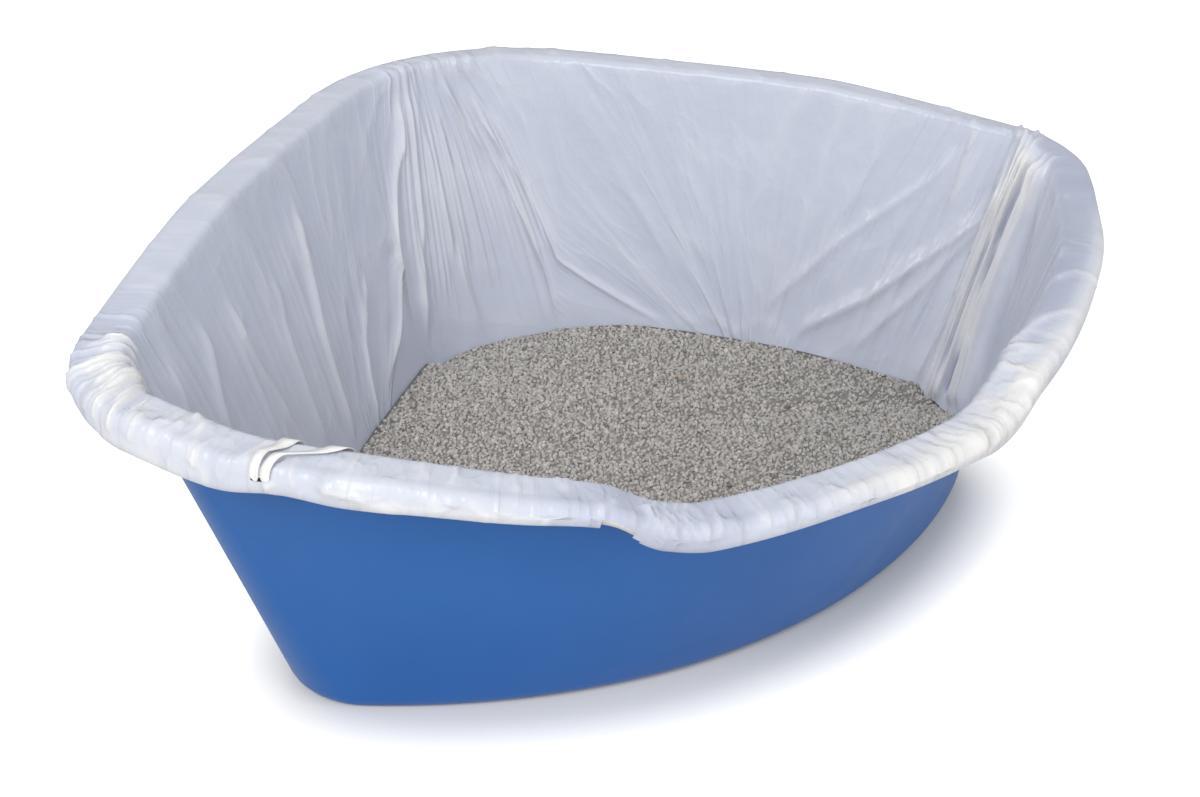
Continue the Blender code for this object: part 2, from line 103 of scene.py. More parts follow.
def dot(a: np.ndarray, b: np.ndarray) -> np.ndarray:
    """Return the dot product along the last axis, which is kept."""
    return (a * b).sum(-1, keepdims=True)


def smooth(share: np.ndarray) -> np.ndarray:
    """Return a share eased from 0 to 1 with flat ends."""
    share = np.clip(share, 0.0, 1.0)
    return share * share * (3 - 2 * share)


class SmoothTable:
    """A table of positions and values, read by a smooth curve that never overshoots the values."""

    def __init__(self, rows: Rows) -> None:
        """Keep the rows and work out the grade of the curve at each.

        Args:
            rows: (position, value) pairs in rising order of position.
        """
        self.x = np.array([row[0] for row in rows], float)
        self.y = np.array([row[1] for row in rows], float)
        slopes = np.diff(self.y) / np.diff(self.x)
        before, after = slopes[:-1], slopes[1:]
        total = np.where(before + after == 0, 1.0, before + after)
        inner = np.where(before * after > 0, 2 * before * after / total, 0.0)
        self.grade = np.concatenate([[0.0], inner, [0.0]])

    def at(self, position: np.ndarray) -> np.ndarray:
        """Return the values of the curve at the positions."""
        position = np.clip(position, self.x[0], self.x[-1])
        i = np.clip(np.searchsorted(self.x, position, side="right") - 1, 0, len(self.x) - 2)
        width = self.x[i + 1] - self.x[i]
        t = (position - self.x[i]) / width
        start = t * (1 - t) ** 2 * width * self.grade[i]
        end = t * t * (t - 1) * width * self.grade[i + 1]
        return self.y[i] + (self.y[i + 1] - self.y[i]) * t * t * (3 - 2 * t) + start + end


class Outline:
    """A closed plan outline with a rounded apex, two bowed back walls, two corners and a bowed front."""

    def __init__(self, apex_y: float, corner: tuple[float, float], bows: tuple[float, float],
                 radii: tuple[float, float]) -> None:
        """Work out the four arcs of the right half.

        Args:
            apex_y: the y of the sharp apex.
            corner: the x and y of the sharp right-hand corner.
            bows: how far the back wall and the front bulge.
            radii: the rounding of the apex and of the corners.
        """
        apex, right = np.array([0.0, apex_y]), np.array(corner)
        left = right * np.array([-1, 1])
        left_leg = self._side(left, apex, bows[0])
        leg = self._side(apex, right, bows[0])
        front = self._side(right, left, bows[1])
        apex_centre = self._fillet(left_leg, leg, radii[0], apex)
        corner_centre = self._fillet(leg, front, radii[1], right)
        leg_start, leg_end = self._angle(leg[0], apex_centre), self._angle(leg[0], corner_centre)
        front_start = self._angle(front[0], corner_centre)
        self.centres = np.array([apex_centre, leg[0], corner_centre, front[0]])
        self.radii = np.array([radii[0], leg[1], radii[1], front[1]])
        self.first = np.array([math.pi / 2, leg_start, leg_end, front_start])
        self.last = np.array([leg_start, leg_end, front_start, -math.pi / 2])

    @staticmethod
    def _angle(centre: np.ndarray, point: np.ndarray) -> float:
        """Return the direction of a point from a centre, in radians."""
        return math.atan2(point[1] - centre[1], point[0] - centre[0])

    @staticmethod
    def _side(start: np.ndarray, end: np.ndarray, bow: float) -> tuple[np.ndarray, float]:
        """Return the centre and radius of the arc from start to end that bulges to the left by bow."""
        half = np.linalg.norm(end - start) / 2
        along = (end - start) / (2 * half)
        radius = (half * half + bow * bow) / (2 * bow)
        return (start + end) / 2 + np.array([-along[1], along[0]]) * (bow - radius), radius

    @staticmethod
    def _fillet(side_a: tuple[np.ndarray, float], side_b: tuple[np.ndarray, float], radius: float,
                corner: np.ndarray) -> np.ndarray:
        """Return the centre of the fillet that touches two sides from inside, next to their corner."""
        reach_a, reach_b = side_a[1] - radius, side_b[1] - radius
        apart = np.linalg.norm(side_b[0] - side_a[0])
        along = (side_b[0] - side_a[0]) / apart
        x = (reach_a ** 2 - reach_b ** 2 + apart ** 2) / (2 * apart)
        y = math.sqrt(reach_a ** 2 - x ** 2)
        across = np.array([-along[1], along[0]])
        choices = [side_a[0] + along * x + across * way * y for way in (1, -1)]
        return min(choices, key=lambda centre: np.linalg.norm(centre - corner))

    def at(self, place: np.ndarray) -> tuple[np.ndarray, np.ndarray]:
        """Return the points and outward directions at places, on z = 0."""
        place = np.mod(place, PLACES)
        side = np.where(place > PLACES / 2, -1.0, 1.0)
        place = np.where(place > PLACES / 2, PLACES - place, place)
        i = np.minimum(place.astype(int), 3)
        angle = self.first[i] + (self.last[i] - self.first[i]) * (place - i)
        outward = np.stack([np.cos(angle) * side, np.sin(angle), np.zeros_like(angle)], -1)
        x = self.centres[i, 0] * side + self.radii[i] * outward[..., 0]
        y = self.centres[i, 1] + self.radii[i] * outward[..., 1]
        return np.stack([x, y, np.zeros_like(x)], -1), outward


@dataclass
class PanForm:
    """The form that everything follows: sizes of the pan, and its reference surface."""

    rim: Outline = field(default_factory=lambda: Outline(0.2853, (0.3383, -0.0529), (0.0143, 0.2025),
                                                         (0.150, 0.0523)))
    base: Outline = field(default_factory=lambda: Outline(0.1930, (0.2565, -0.0655), (0.0010, 0.0995),
                                                          (0.062, 0.0405)))
    bearing_centre_y: float = -0.0213
    rim_heights: Rows = ((0, 0.160), (21, 0.159), (27, 0.164), (33, 0.1765), (40, 0.183), (57, 0.195),
                         (68, 0.199), (76, 0.208), (92, 0.2265), (104, 0.238), (114, 0.2445),
                         (140, 0.2495), (180, 0.255))
    wall: float = 0.0025
    floor_fillet: float = 0.012
    lip_width: float = 0.0215
    lip_fall: float = 0.0012
    lip_inner_radius: float = 0.0045
    lip_outer_radius: float = 0.0040
    skirts: Rows = ((0.0, 0.0095), (8.0, 0.0095))
    curl_radius: float = 0.003
    tuck: float = 0.003

    def __post_init__(self) -> None:
        """Make the smooth curves of the rim's height and of the depth to where the hem curls under."""
        self.heights = SmoothTable(self.rim_heights)
        self.depths = SmoothTable(self.skirts)

    def rim_height(self, rim: np.ndarray) -> np.ndarray:
        """Return the height of the lip at points of the rim's plan, with one axis of length 1 kept."""
        bearing = np.degrees(np.arctan2(np.abs(rim[..., 0]), self.bearing_centre_y - rim[..., 1]))
        return self.heights.at(bearing)[..., None]

    @staticmethod
    def _rounded(corner: np.ndarray, into: np.ndarray, away: np.ndarray, radius: float,
                 share: np.ndarray) -> np.ndarray:
        """Return the points at shares of the arc that rounds a corner between two directions."""
        turn = np.arccos(np.clip(dot(into, away), -1.0, 1.0))
        start = corner - into * radius * np.tan(turn / 2)
        across = unit(away - into * dot(into, away))
        angle = turn * share
        return start + radius * (into * np.sin(angle) + across * (1 - np.cos(angle)))

    def surface(self, place: np.ndarray, section: np.ndarray) -> np.ndarray:
        """Return the points of the reference surface.

        Args:
            place: places round the pan.
            section: sections up the side, in an array of the same shape.

        Returns:
            The points, with x, y and z along a new last axis.
        """
        rim, outward = self.rim.at(place)
        base, _ = self.base.at(place)
        height = self.rim_height(rim)
        crest_out = rim + UP * (height - self.lip_fall)
        crest_in = rim - outward * self.lip_width + UP * height
        foot = base + UP * self.wall
        climb = unit(crest_in - foot)
        flat = unit((crest_in - foot) * np.array([1, 1, 0]))
        lip = unit(crest_out - crest_in)
        down = np.broadcast_to(-UP, lip.shape)
        skirt_end = rim + UP * (height - self.depths.at(np.mod(place, PLACES))[..., None])
        index = np.minimum(section.astype(int), Section.TUCK_END - 1)
        share = (section - index)[..., None]

        def ends(low: np.ndarray, high: np.ndarray) -> np.ndarray:
            """Return the points at the shares of the line from low to high."""
            return low + (high - low) * share

        inner, outer = self.lip_inner_radius, self.lip_outer_radius
        curl = self.curl_radius
        curl_corner = skirt_end - UP * curl
        pieces = {
            Section.FLOOR_EDGE: self._rounded(foot, flat, climb, self.floor_fillet, share),
            Section.WALL_FOOT: ends(self._rounded(foot, flat, climb, self.floor_fillet, 1.0),
                                    self._rounded(crest_in, climb, lip, inner, 0.0)),
            Section.WALL_TOP: self._rounded(crest_in, climb, lip, inner, share),
            Section.LIP_START: ends(self._rounded(crest_in, climb, lip, inner, 1.0),
                                    self._rounded(crest_out, lip, down, outer, 0.0)),
            Section.LIP_END: self._rounded(crest_out, lip, down, outer, share),
            Section.SKIRT_TOP: ends(self._rounded(crest_out, lip, down, outer, 1.0), skirt_end),
            Section.SKIRT_END: self._rounded(curl_corner, down, -outward, curl, share),
            Section.CURL_END: curl_corner - outward * (curl + self.tuck * share),
        }
        points = np.zeros(place.shape + (3,))
        for piece, values in pieces.items():
            points = np.where((index == piece)[..., None], values, points)
        return points

    def stand_off(self, place: np.ndarray, section: np.ndarray, distance: np.ndarray) -> np.ndarray:
        """Return points that stand off the reference surface by distances, on the film's side."""
        along = self.surface(place + STEP, section) - self.surface(place - STEP, section)
        low = np.maximum(section - STEP, Section.FLOOR_EDGE)
        high = np.minimum(section + STEP, Section.TUCK_END)
        across = self.surface(place, high) - self.surface(place, low)
        normal = unit(np.cross(along, across))
        return self.surface(place, section) + normal * np.asarray(distance)[..., None]

    def spacing(self, place: np.ndarray, section: np.ndarray) -> np.ndarray:
        """Return the length round the pan of one place at each point."""
        apart = self.surface(place + STEP, section) - self.surface(place - STEP, section)
        return np.linalg.norm(apart, axis=-1) / (2 * STEP)


def mesh_piece(name: str, points: np.ndarray, faces: np.ndarray,
               finish: bpy.types.Material) -> bpy.types.Object:
    """Make a smooth-shaded mesh object from arrays.

    Args:
        name: the piece's name.
        points: (n, 3) vertices.
        faces: (m, 3) or (m, 4) vertex numbers of the faces.
        finish: its material.

    Returns:
        The new object, linked to the scene.
    """
    mesh = bpy.data.meshes.new(name)
    count, sides = faces.shape
    mesh.vertices.add(len(points))
    mesh.vertices.foreach_set("co", np.ascontiguousarray(points, np.float32).ravel())
    mesh.loops.add(count * sides)
    mesh.loops.foreach_set("vertex_index", np.ascontiguousarray(faces, np.int32).ravel())
    mesh.polygons.add(count)
    mesh.polygons.foreach_set("loop_start", np.arange(0, count * sides, sides, dtype=np.int32))
    mesh.polygons.foreach_set("use_smooth", np.ones(count, bool))
    mesh.materials.append(finish)
    mesh.update(calc_edges=True)
    mesh.validate()
    piece = bpy.data.objects.new(name, mesh)
    bpy.context.scene.collection.objects.link(piece)
    return piece


def store(piece: bpy.types.Object, name: str, values: np.ndarray) -> None:
    """Store values at the vertices of a piece, for its material to read.

    Args:
        piece: the mesh object.
        name: the name of the attribute.
        values: a number for each vertex, or an array with vectors along its third axis.
    """
    vectors = values.ndim == 3
    layer = piece.data.attributes.new(name, "FLOAT_VECTOR" if vectors else "FLOAT", "POINT")
    layer.data.foreach_set("vector" if vectors else "value", values.astype(np.float32).ravel())


def grid_faces(rows: int, columns: int) -> np.ndarray:
    """Return the quads of a grid of vertices, numbered row by row, whose last column joins the first.

    Args:
        rows: the number of rows.
        columns: the number of vertices in a row.
    """
    r, c = np.meshgrid(np.arange(rows - 1), np.arange(columns), indexing="ij")
    after = (c + 1) % columns
    row, above = r * columns, (r + 1) * columns
    quads = np.stack([row + c, row + after, above + after, above + c], -1)
    return quads.reshape(-1, 4)


class NodeBuilder:
    """Short ways to add shader nodes to a material."""

    def __init__(self, name: str) -> None:
        """Make a material with a Principled shader and object coordinates.

        Args:
            name: the material's name.
        """
        self.material = bpy.data.materials.new(name)
        self.material.use_nodes = True
        self.tree = self.material.node_tree
        self.shader = self.tree.nodes["Principled BSDF"]
        self.coordinates = self.tree.nodes.new("ShaderNodeTexCoord").outputs["Object"]

    @staticmethod
    def fill(node: bpy.types.Node, **values: float | tuple[float, ...]) -> None:
        """Set constants on a node's sockets, with underscores for the spaces in their names."""
        for name, value in values.items():
            node.inputs[name.replace("_", " ")].default_value = value

    def put(self, **values: float | tuple[float, ...]) -> None:
        """Set constants on the shader's own sockets."""
        self.fill(self.shader, **values)

    def link(self, source: Socket, target: Socket) -> None:
        """Join two sockets."""
        self.tree.links.new(source, target)

    def feed(self, source: Socket | float, target: Socket) -> None:
        """Set a socket to a number, or join another socket to it."""
        if isinstance(source, float):
            target.default_value = source
        else:
            self.link(source, target)

    def stretched(self, scale: tuple[float, float, float], vector: Socket) -> Socket:
        """Return coordinates scaled by axis."""
        mapping = self.tree.nodes.new("ShaderNodeMapping")
        self.fill(mapping, Scale=scale)
        self.link(vector, mapping.inputs["Vector"])
        return mapping.outputs["Vector"]

    def noise(self, scale: float, detail: float = 2.0, rough: float = 0.5) -> Socket:
        """Return the value of a noise texture."""
        node = self.tree.nodes.new("ShaderNodeTexNoise")
        self.fill(node, Scale=scale, Detail=detail, Roughness=rough)
        self.link(self.coordinates, node.inputs["Vector"])
        return node.outputs["Fac"]

    def creases(self, scale: float, vector: Socket) -> Socket:
        """Return a value that peaks sharply along crease lines, as in crumpled film.

        Args:
            scale: how close together the lines are.
            vector: where the value is read.
        """
        node = self.tree.nodes.new("ShaderNodeTexNoise")
        node.noise_type = "RIDGED_MULTIFRACTAL"
        self.fill(node, Scale=scale, Detail=2.0, Roughness=0.55, Offset=1.0, Gain=1.2, Distortion=0.25)
        self.link(vector, node.inputs["Vector"])
        return self.times(node.outputs["Fac"], 0.5)

    def attribute(self, name: str, output: str = "Fac") -> Socket:
        """Return an output of a mesh attribute: its value, or its vector."""
        node = self.tree.nodes.new("ShaderNodeAttribute")
        node.attribute_name = name
        return node.outputs[output]

    def times(self, a: Socket, b: Socket | float) -> Socket:
        """Return the product of a value and another value or number."""
        node = self.tree.nodes.new("ShaderNodeMath")
        node.operation = "MULTIPLY"
        self.link(a, node.inputs[0])
        self.feed(b, node.inputs[1])
        return node.outputs["Value"]

    def ramp(self, value: Socket, stops: tuple[tuple[float, Colour], ...]) -> Socket:
        """Return a colour that follows a value through stops of (position, colour)."""
        node = self.tree.nodes.new("ShaderNodeValToRGB")
        elements = node.color_ramp.elements
        while len(elements) < len(stops):
            elements.new(1.0)
        for element, (position, colour) in zip(elements, stops):
            element.position = position
            element.color = (*colour, 1.0)
        self.link(value, node.inputs["Fac"])
        return node.outputs["Color"]

    def tinted(self, a: Socket, b: Socket) -> Socket:
        """Return the product of two colours."""
        node = self.tree.nodes.new("ShaderNodeMix")
        node.data_type = "RGBA"
        node.blend_type = "MULTIPLY"
        self.fill(node, Factor=1.0)
        self.link(a, node.inputs[6])
        self.link(b, node.inputs[7])
        return node.outputs[2]

    def span(self, value: Socket, low: float, high: float) -> Socket:
        """Return a value of 0 to 1 spread from low to high."""
        node = self.tree.nodes.new("ShaderNodeMapRange")
        self.fill(node, To_Min=low, To_Max=high)
        self.link(value, node.inputs["Value"])
        return node.outputs["Result"]

    def bump(self, heights: list[tuple[Socket, float]]) -> None:
        """Bend the shader's normal by several heights.

        Args:
            heights: (height, depth in metres) pairs.
        """
        normal = None
        for height, depth in heights:
            node = self.tree.nodes.new("ShaderNodeBump")
            self.fill(node, Distance=depth)
            self.link(height, node.inputs["Height"])
            if normal:
                self.link(normal, node.inputs["Normal"])
            normal = node.outputs["Normal"]
        self.link(normal, self.shader.inputs["Normal"])


@dataclass(frozen=True)
class PanFinish:
    """Blue moulded plastic: satin, with faint mottling and a fine moulded grain."""

    light: Colour = (0.022, 0.124, 0.40)
    dark: Colour = (0.015, 0.106, 0.36)
    roughness: float = 0.36

    def make(self) -> bpy.types.Material:
        """Return the material."""
        nodes = NodeBuilder("pan_blue_plastic")
        mottle = nodes.noise(7.0, 3.0, 0.55)
        nodes.link(nodes.ramp(mottle, ((0.3, self.dark), (0.7, self.light))),
                   nodes.shader.inputs["Base Color"])
        nodes.link(nodes.span(nodes.noise(40.0), self.roughness - 0.04, self.roughness + 0.06),
                   nodes.shader.inputs["Roughness"])
        nodes.put(Specular_IOR_Level=0.24)
        nodes.bump([(nodes.noise(900.0, 1.0), 0.00004), (nodes.noise(22.0, 2.0), 0.0004)])
        return nodes.material


@dataclass(frozen=True)
class FilmFinish:
    """Thin white film: bluish where the pan shows through one ply, whiter where it is doubled or folded.

    Its fine ridges follow the way the film lies, from coordinates that the mesh carries: round the rim on a
    circle, and up the side. Its colour also carries painted shade in the slits between pleats and on
    stretches of the rim, and a painted glint along the creases.
    """

    # Dark colour for painted shade: the slits between pleats, and the rim where it lies out of the light
    painted_shade: Colour = (0.16, 0.18, 0.32)
    single: Colour = (0.60, 0.630, 0.73)
    doubled: Colour = (0.80, 0.795, 0.79)
    roughness: float = 0.30

    def make(self) -> bpy.types.Material:
        """Return the material."""
        nodes = NodeBuilder("thin_white_film")
        space = nodes.attribute("film_space", "Vector")
        gather, band = nodes.attribute("gather"), nodes.attribute("band")
        # The plies attribute carries the fold and rim tones: under 0.5 it turns towards painted shade, over
        # it towards doubled film
        tones = ((0.0, self.painted_shade), (0.5, self.single), (1.0, self.doubled))
        tone = nodes.ramp(nodes.attribute("plies"), tones)
        creases = nodes.creases(20.0, nodes.stretched((1.0, 1.0, 0.55), space))
        crinkles = nodes.creases(42.0, nodes.stretched((1.0, 1.0, 0.80), space))
        gathers = nodes.creases(85.0, nodes.stretched((1.0, 1.0, 0.10), space))
        # Painted highlight: the colour is lighter along the crease lines, as glints
        painted_glint = nodes.ramp(creases, ((0.40, (0.95, 0.955, 0.97)), (0.75, (1.0, 1.0, 1.0))))
        nodes.link(nodes.tinted(tone, painted_glint), nodes.shader.inputs["Base Color"])
        nodes.link(nodes.span(nodes.noise(30.0, 2.0), self.roughness - 0.06, self.roughness + 0.08),
                   nodes.shader.inputs["Roughness"])
        nodes.put(Specular_IOR_Level=0.40)
        nodes.bump([
            (nodes.noise(26.0, 2.0, 0.5), 0.0012),
            (creases, 0.0018),
            (nodes.times(gathers, gather), 0.0020),
            (nodes.times(crinkles, band), 0.0024),
            (nodes.noise(110.0, 3.0, 0.6), 0.0004),
        ])
        return nodes.material


@dataclass(frozen=True)
class TapeFinish:
    """Opaque white tape with fine lengthwise creases."""

    colour: Colour = (0.88, 0.87, 0.85)
    roughness: float = 0.38

    def make(self) -> bpy.types.Material:
        """Return the material."""
        nodes = NodeBuilder("drawstring_tape_white")
        shade = tuple(0.93 * value for value in self.colour)
        nodes.link(nodes.ramp(nodes.noise(120.0, 3.0), ((0.35, shade), (0.65, self.colour))),
                   nodes.shader.inputs["Base Color"])
        nodes.put(Roughness=self.roughness)
        nodes.bump([(nodes.noise(260.0, 2.0), 0.0003)])
        return nodes.material


@dataclass(frozen=True)
class GranuleFinish:
    """Dry grey clay: each granule has its own tone, with a few tan and dark ones; the heap under them is
    painted shade.
    """

    dark: Colour = (0.22, 0.205, 0.19)
    middle: Colour = (0.50, 0.475, 0.445)
    light: Colour = (0.70, 0.67, 0.635)
    tan: Colour = (0.56, 0.45, 0.37)

    def make(self) -> bpy.types.Material:
        """Return the material."""
        nodes = NodeBuilder("grey_clay_granules")
        tone = nodes.ramp(nodes.attribute("tone"), ((0.0, self.dark), (0.35, self.middle), (0.93, self.light),
                                                    (1.0, self.tan)))
        dust = nodes.ramp(nodes.noise(700.0, 3.0, 0.6), ((0.3, (0.82, 0.82, 0.82)), (0.7, (1.0, 1.0, 1.0))))
        nodes.link(nodes.tinted(tone, dust), nodes.shader.inputs["Base Color"])
        nodes.put(Roughness=0.95, Specular_IOR_Level=0.2)
        nodes.bump([(nodes.noise(1400.0, 3.0, 0.6), 0.0003)])
        return nodes.material


@dataclass
class Pan:
    """The moulded pan, with a finer mesh than the solid it stands for."""

    form: PanForm
    finish: PanFinish = PanFinish()
    columns: int = 560
    wall_rows: int = 10

    def build(self) -> bpy.types.Object:
        """Return the pan: face, lip, skirt, and the outer side down to the base."""
        face = [0, 0.25, 0.5, 0.75] + [1 + k / self.wall_rows for k in range(self.wall_rows)]
        face += [2 + k / 4 for k in range(4)] + [3, 3.5] + [4 + k / 4 for k in range(4)] + [5, 5.5]
        back = [5.5, 5, 4, 3, 2] + [2 - k / self.wall_rows for k in range(1, self.wall_rows + 1)]
        back += [0.8, 0.6, 0.4, 0.2, 0.0]
        places = np.arange(self.columns) * PLACES / self.columns
        sections = np.array(face + back, float)
        distances = np.array([0.0] * len(face) + [-self.form.wall] * len(back))
        place, section = np.meshgrid(places, sections)
        rows = self.form.stand_off(place, section, np.broadcast_to(distances[:, None], place.shape))
        inner = rows[0].copy()
        under = rows[-1].copy()
        middle = np.array([0.0, 0.02, 0.0])
        spread = np.array([0.0, 0.5])[:, None, None]
        floor = inner * spread + (middle + UP * inner[:, 2:3]) * (1 - spread)
        foot = under * spread[::-1] + (middle + UP * under[:, 2:3]) * (1 - spread[::-1])
        points = np.concatenate([floor, rows, foot])
        piece = mesh_piece("blue_pan", points.reshape(-1, 3), grid_faces(len(points), self.columns),
                           self.finish.make())
        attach(piece, "root")
        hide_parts("litter_pan")
        return piece


@dataclass(frozen=True)
class Fold:
    """One raised fold of the film, along a path of (place, section) points.

    A fold with a lighter tone is doubled film, one with a tone under 0 is a groove coloured dark as painted
    shade.
    """

    path: Rows
    height: float
    width: float
    tone: float = 0.0
    ends: float = 0.15


@dataclass(frozen=True)
class Fan:
    """A spread of folds from a stretch of the rim to a stretch of the litter's edge."""

    rim: tuple[float, float]
    low: tuple[float, float]
    count: int
    height: float
    width: float
    tone: float = 0.1
    reach: tuple[float, float] = (0.75, 1.0)


@dataclass(frozen=True)
class Pleats:
    """Short folds across a stretch of the rim, from one section to another."""

    places: tuple[float, float]
    count: int
    height: float
    width: float
    low: tuple[float, ...] = (1.90, 2.4, 3.1)
    high: tuple[float, ...] = (4.3, 5.3, 6.6)
    slant: float = 0.012
    tone: float = 0.16


@dataclass
class FilmGrid:
    """The film's grid of points: where each lies on the reference surface."""

    place: np.ndarray
    section: np.ndarray
    spacing: np.ndarray
    reach: np.ndarray


@dataclass(frozen=True)
class Notch:
    """An opening in the hem's outer ply: its left-hand end, its widths and its lowest section."""

    place: float
    width: float
    top_width: float
    low: float = 9.0


@dataclass
class Film:
    """The film: one sheet over the floor, the walls and the rim, with its hem, notches, folds and gathers."""

    form: PanForm
    finish: FilmFinish = FilmFinish()
    columns: int = 1290
    wall_rows: int = 42
    stand_off: float = 0.0009
    ply: float = 0.0004
    tunnel: float = 0.0012
    puff: float = 0.0022
    seed: int = 7
    litter_line: Rows = ((0.0, 0.052), (0.9, 0.058), (1.25, 0.070), (1.6, 0.066), (2.0, 0.050), (2.4, 0.037),
                         (3.2, 0.048), (5.0, 0.052), (6.6, 0.059), (6.95, 0.060), (7.4, 0.050), (8.0, 0.052))
    lean: Rows = ((7.50, 6.76), (7.58, 7.00), (7.68, 7.45), (7.80, 8.25), (7.96, 8.98), (8.14, 9.30),
                  (8.45, 9.38), (9.00, 9.46), (9.50, 9.55), (9.80, 9.68), (10.00, 9.95), (10.75, 10.60),
                  (11.00, 11.00), (12.0, 12.0), (13.0, 13.0), (14.0, 14.0), (14.70, 14.62), (15.10, 14.70),
                  (15.50, 14.76))
    crowding: Rows = ((7.5, 1.6), (8.2, 1.5), (8.5, 0.8), (9.5, 0.8), (9.9, 1.5), (10.9, 1.6), (11.2, 0.9),
                      (11.9, 0.9), (12.2, 1.5), (12.9, 1.2), (13.0, 1.7), (14.0, 1.9), (14.2, 0.8),
                      (15.3, 0.8), (15.5, 1.6))
    notches: tuple[Notch, ...] = (Notch(4.8115, 0.0080, 0.0076, 5.3), Notch(4.385, 0.030, 0.003))
    notch_rise: float = 1.6
    # Tone over the rim by place: values under 0 are painted shade where the rim lies out of the light, values
    # over 0 make the film whiter
    rim_tones_with_painted_shade: Rows = ((0.0, 0.04), (1.6, 0.02), (2.0, -0.12), (2.3, -0.26), (3.0, -0.34), (3.46, -0.40),
                       (3.58, -0.26), (3.66, 0.04), (3.80, 0.26), (4.1, 0.04), (4.3, -0.26), (4.5, 0.06),
                       (4.8, 0.08), (5.1, 0.12), (5.5, -0.16), (5.9, -0.20), (6.3, 0.04), (7.4, 0.0),
                       (8.0, 0.04))
    fullness: Rows = ((0.0, 0.9), (1.6, 0.8), (2.1, 0.0), (3.35, 0.0), (3.6, 1.0), (4.2, 0.9), (5.2, 1.1),
                      (8.0, 0.9))
    gathers: Rows = ((0.0, 1.0), (0.25, 0.5), (0.6, 0.12), (1.6, 0.12), (1.95, 0.6), (2.35, 0.5), (2.6, 0.06),
                     (3.4, 0.06), (3.6, 0.3), (4.2, 0.4), (4.3, 0.6), (4.5, 0.4), (4.9, 0.5), (5.1, 1.0),
                     (5.9, 1.0), (6.2, 0.12), (7.2, 0.06), (7.6, 0.9), (8.0, 1.0))
    crumples: Rows = ((0.0, 0.35), (1.6, 0.30), (2.0, 0.6), (2.3, 0.2), (3.56, 0.15), (3.66, 0.7), (3.8, 1.0),
                      (4.9, 1.0), (5.2, 0.6), (5.9, 0.5), (6.2, 0.12), (7.3, 0.12), (7.6, 0.4), (8.0, 0.35))
    lowest: float = -0.0004
    front_place: float = 3.5
    floor_spread: tuple[float, float, float] = (0.3, 0.3, 1.0)

    def __post_init__(self) -> None:
        """Start the random numbers and read the tables."""
        self.random = np.random.default_rng(self.seed)
        self.litter = SmoothTable(self.litter_line)
        self.low_at = SmoothTable(self.lean)
        self.rim_tone_with_painted_shade = SmoothTable(self.rim_tones_with_painted_shade)
        self.full = SmoothTable(self.fullness)
        self.gathered = SmoothTable(self.gathers)
        self.crumpled = SmoothTable(self.crumples)

    def litter_section(self, place: np.ndarray) -> np.ndarray:
        """Return the section at which the litter meets the wall."""
        foot = self.form.surface(place, np.full_like(place, Section.WALL_FOOT))[..., 2]
        top = self.form.surface(place, np.full_like(place, Section.WALL_TOP))[..., 2]
        return Section.WALL_FOOT + (self.litter.at(np.mod(place, PLACES)) - foot) / (top - foot)

    def station_places(self) -> tuple[np.ndarray, np.ndarray]:
        """Return the place of each column on the rim and at the litter, closer together in the gathers."""
        fine_rim = np.linspace(self.lean[0][0], self.lean[-1][0], 8001)
        fine_low = self.low_at.at(fine_rim)
        rim_points = self.form.surface(fine_rim, np.full_like(fine_rim, Section.LIP_START))
        low_points = self.form.surface(fine_low, np.full_like(fine_low, Section.WALL_FOOT))
        travel = np.maximum(np.linalg.norm(np.diff(rim_points, axis=0), axis=1),
                            np.linalg.norm(np.diff(low_points, axis=0), axis=1))
        travel = travel * SmoothTable(self.crowding).at(fine_rim[1:])
        count = np.concatenate([[0.0], np.cumsum(travel)])
        even = np.arange(self.columns) / self.columns * count[-1]
        rim = np.interp(even, count, fine_rim)
        return rim, self.low_at.at(rim)

    def rows(self) -> tuple[np.ndarray, np.ndarray]:
        """Return each row as a section, and as the ply that it belongs to: 0 face, 1 outer hem, 2 inner hem.

        Sections of the bare wall are given as 1 to 2, from the litter to the top of the wall.
        """
        face = [-1.0, 0.0, 0.5] + [1 + k / self.wall_rows for k in range(self.wall_rows)]
        face += [2 + k / 4 for k in range(4)] + [3 + k / 8 for k in range(8)] + [4, 4.33, 4.66]
        outer = [5, 5.2, 5.4, 5.6, 5.8, 6, 6.33, 6.66, 7, 8]
        inner = [8, 7, 6, 5]
        sections = np.array(face + outer + inner, float)
        plies = np.array([0] * len(face) + [1] * len(outer) + [2] * len(inner))
        return sections, plies

    def reach(self, place: np.ndarray, section: np.ndarray) -> np.ndarray:
        """Return how far up the side a point is from the wall's top, in metres, less than 0 on the wall."""
        foot = self.form.surface(place, np.full_like(place, Section.WALL_FOOT))
        top = self.form.surface(place, np.full_like(place, Section.WALL_TOP))
        wall = np.linalg.norm(top - foot, axis=-1)
        fine = np.linspace(Section.WALL_TOP, Section.TUCK_END, 121)
        line = self.form.surface(np.full_like(fine, self.front_place), fine)
        over = np.concatenate([[0.0], np.cumsum(np.linalg.norm(np.diff(line, axis=0), axis=1))])
        above = np.interp(section, fine, over)
        return np.where(section < Section.WALL_TOP, (section - Section.WALL_TOP) * wall, above)

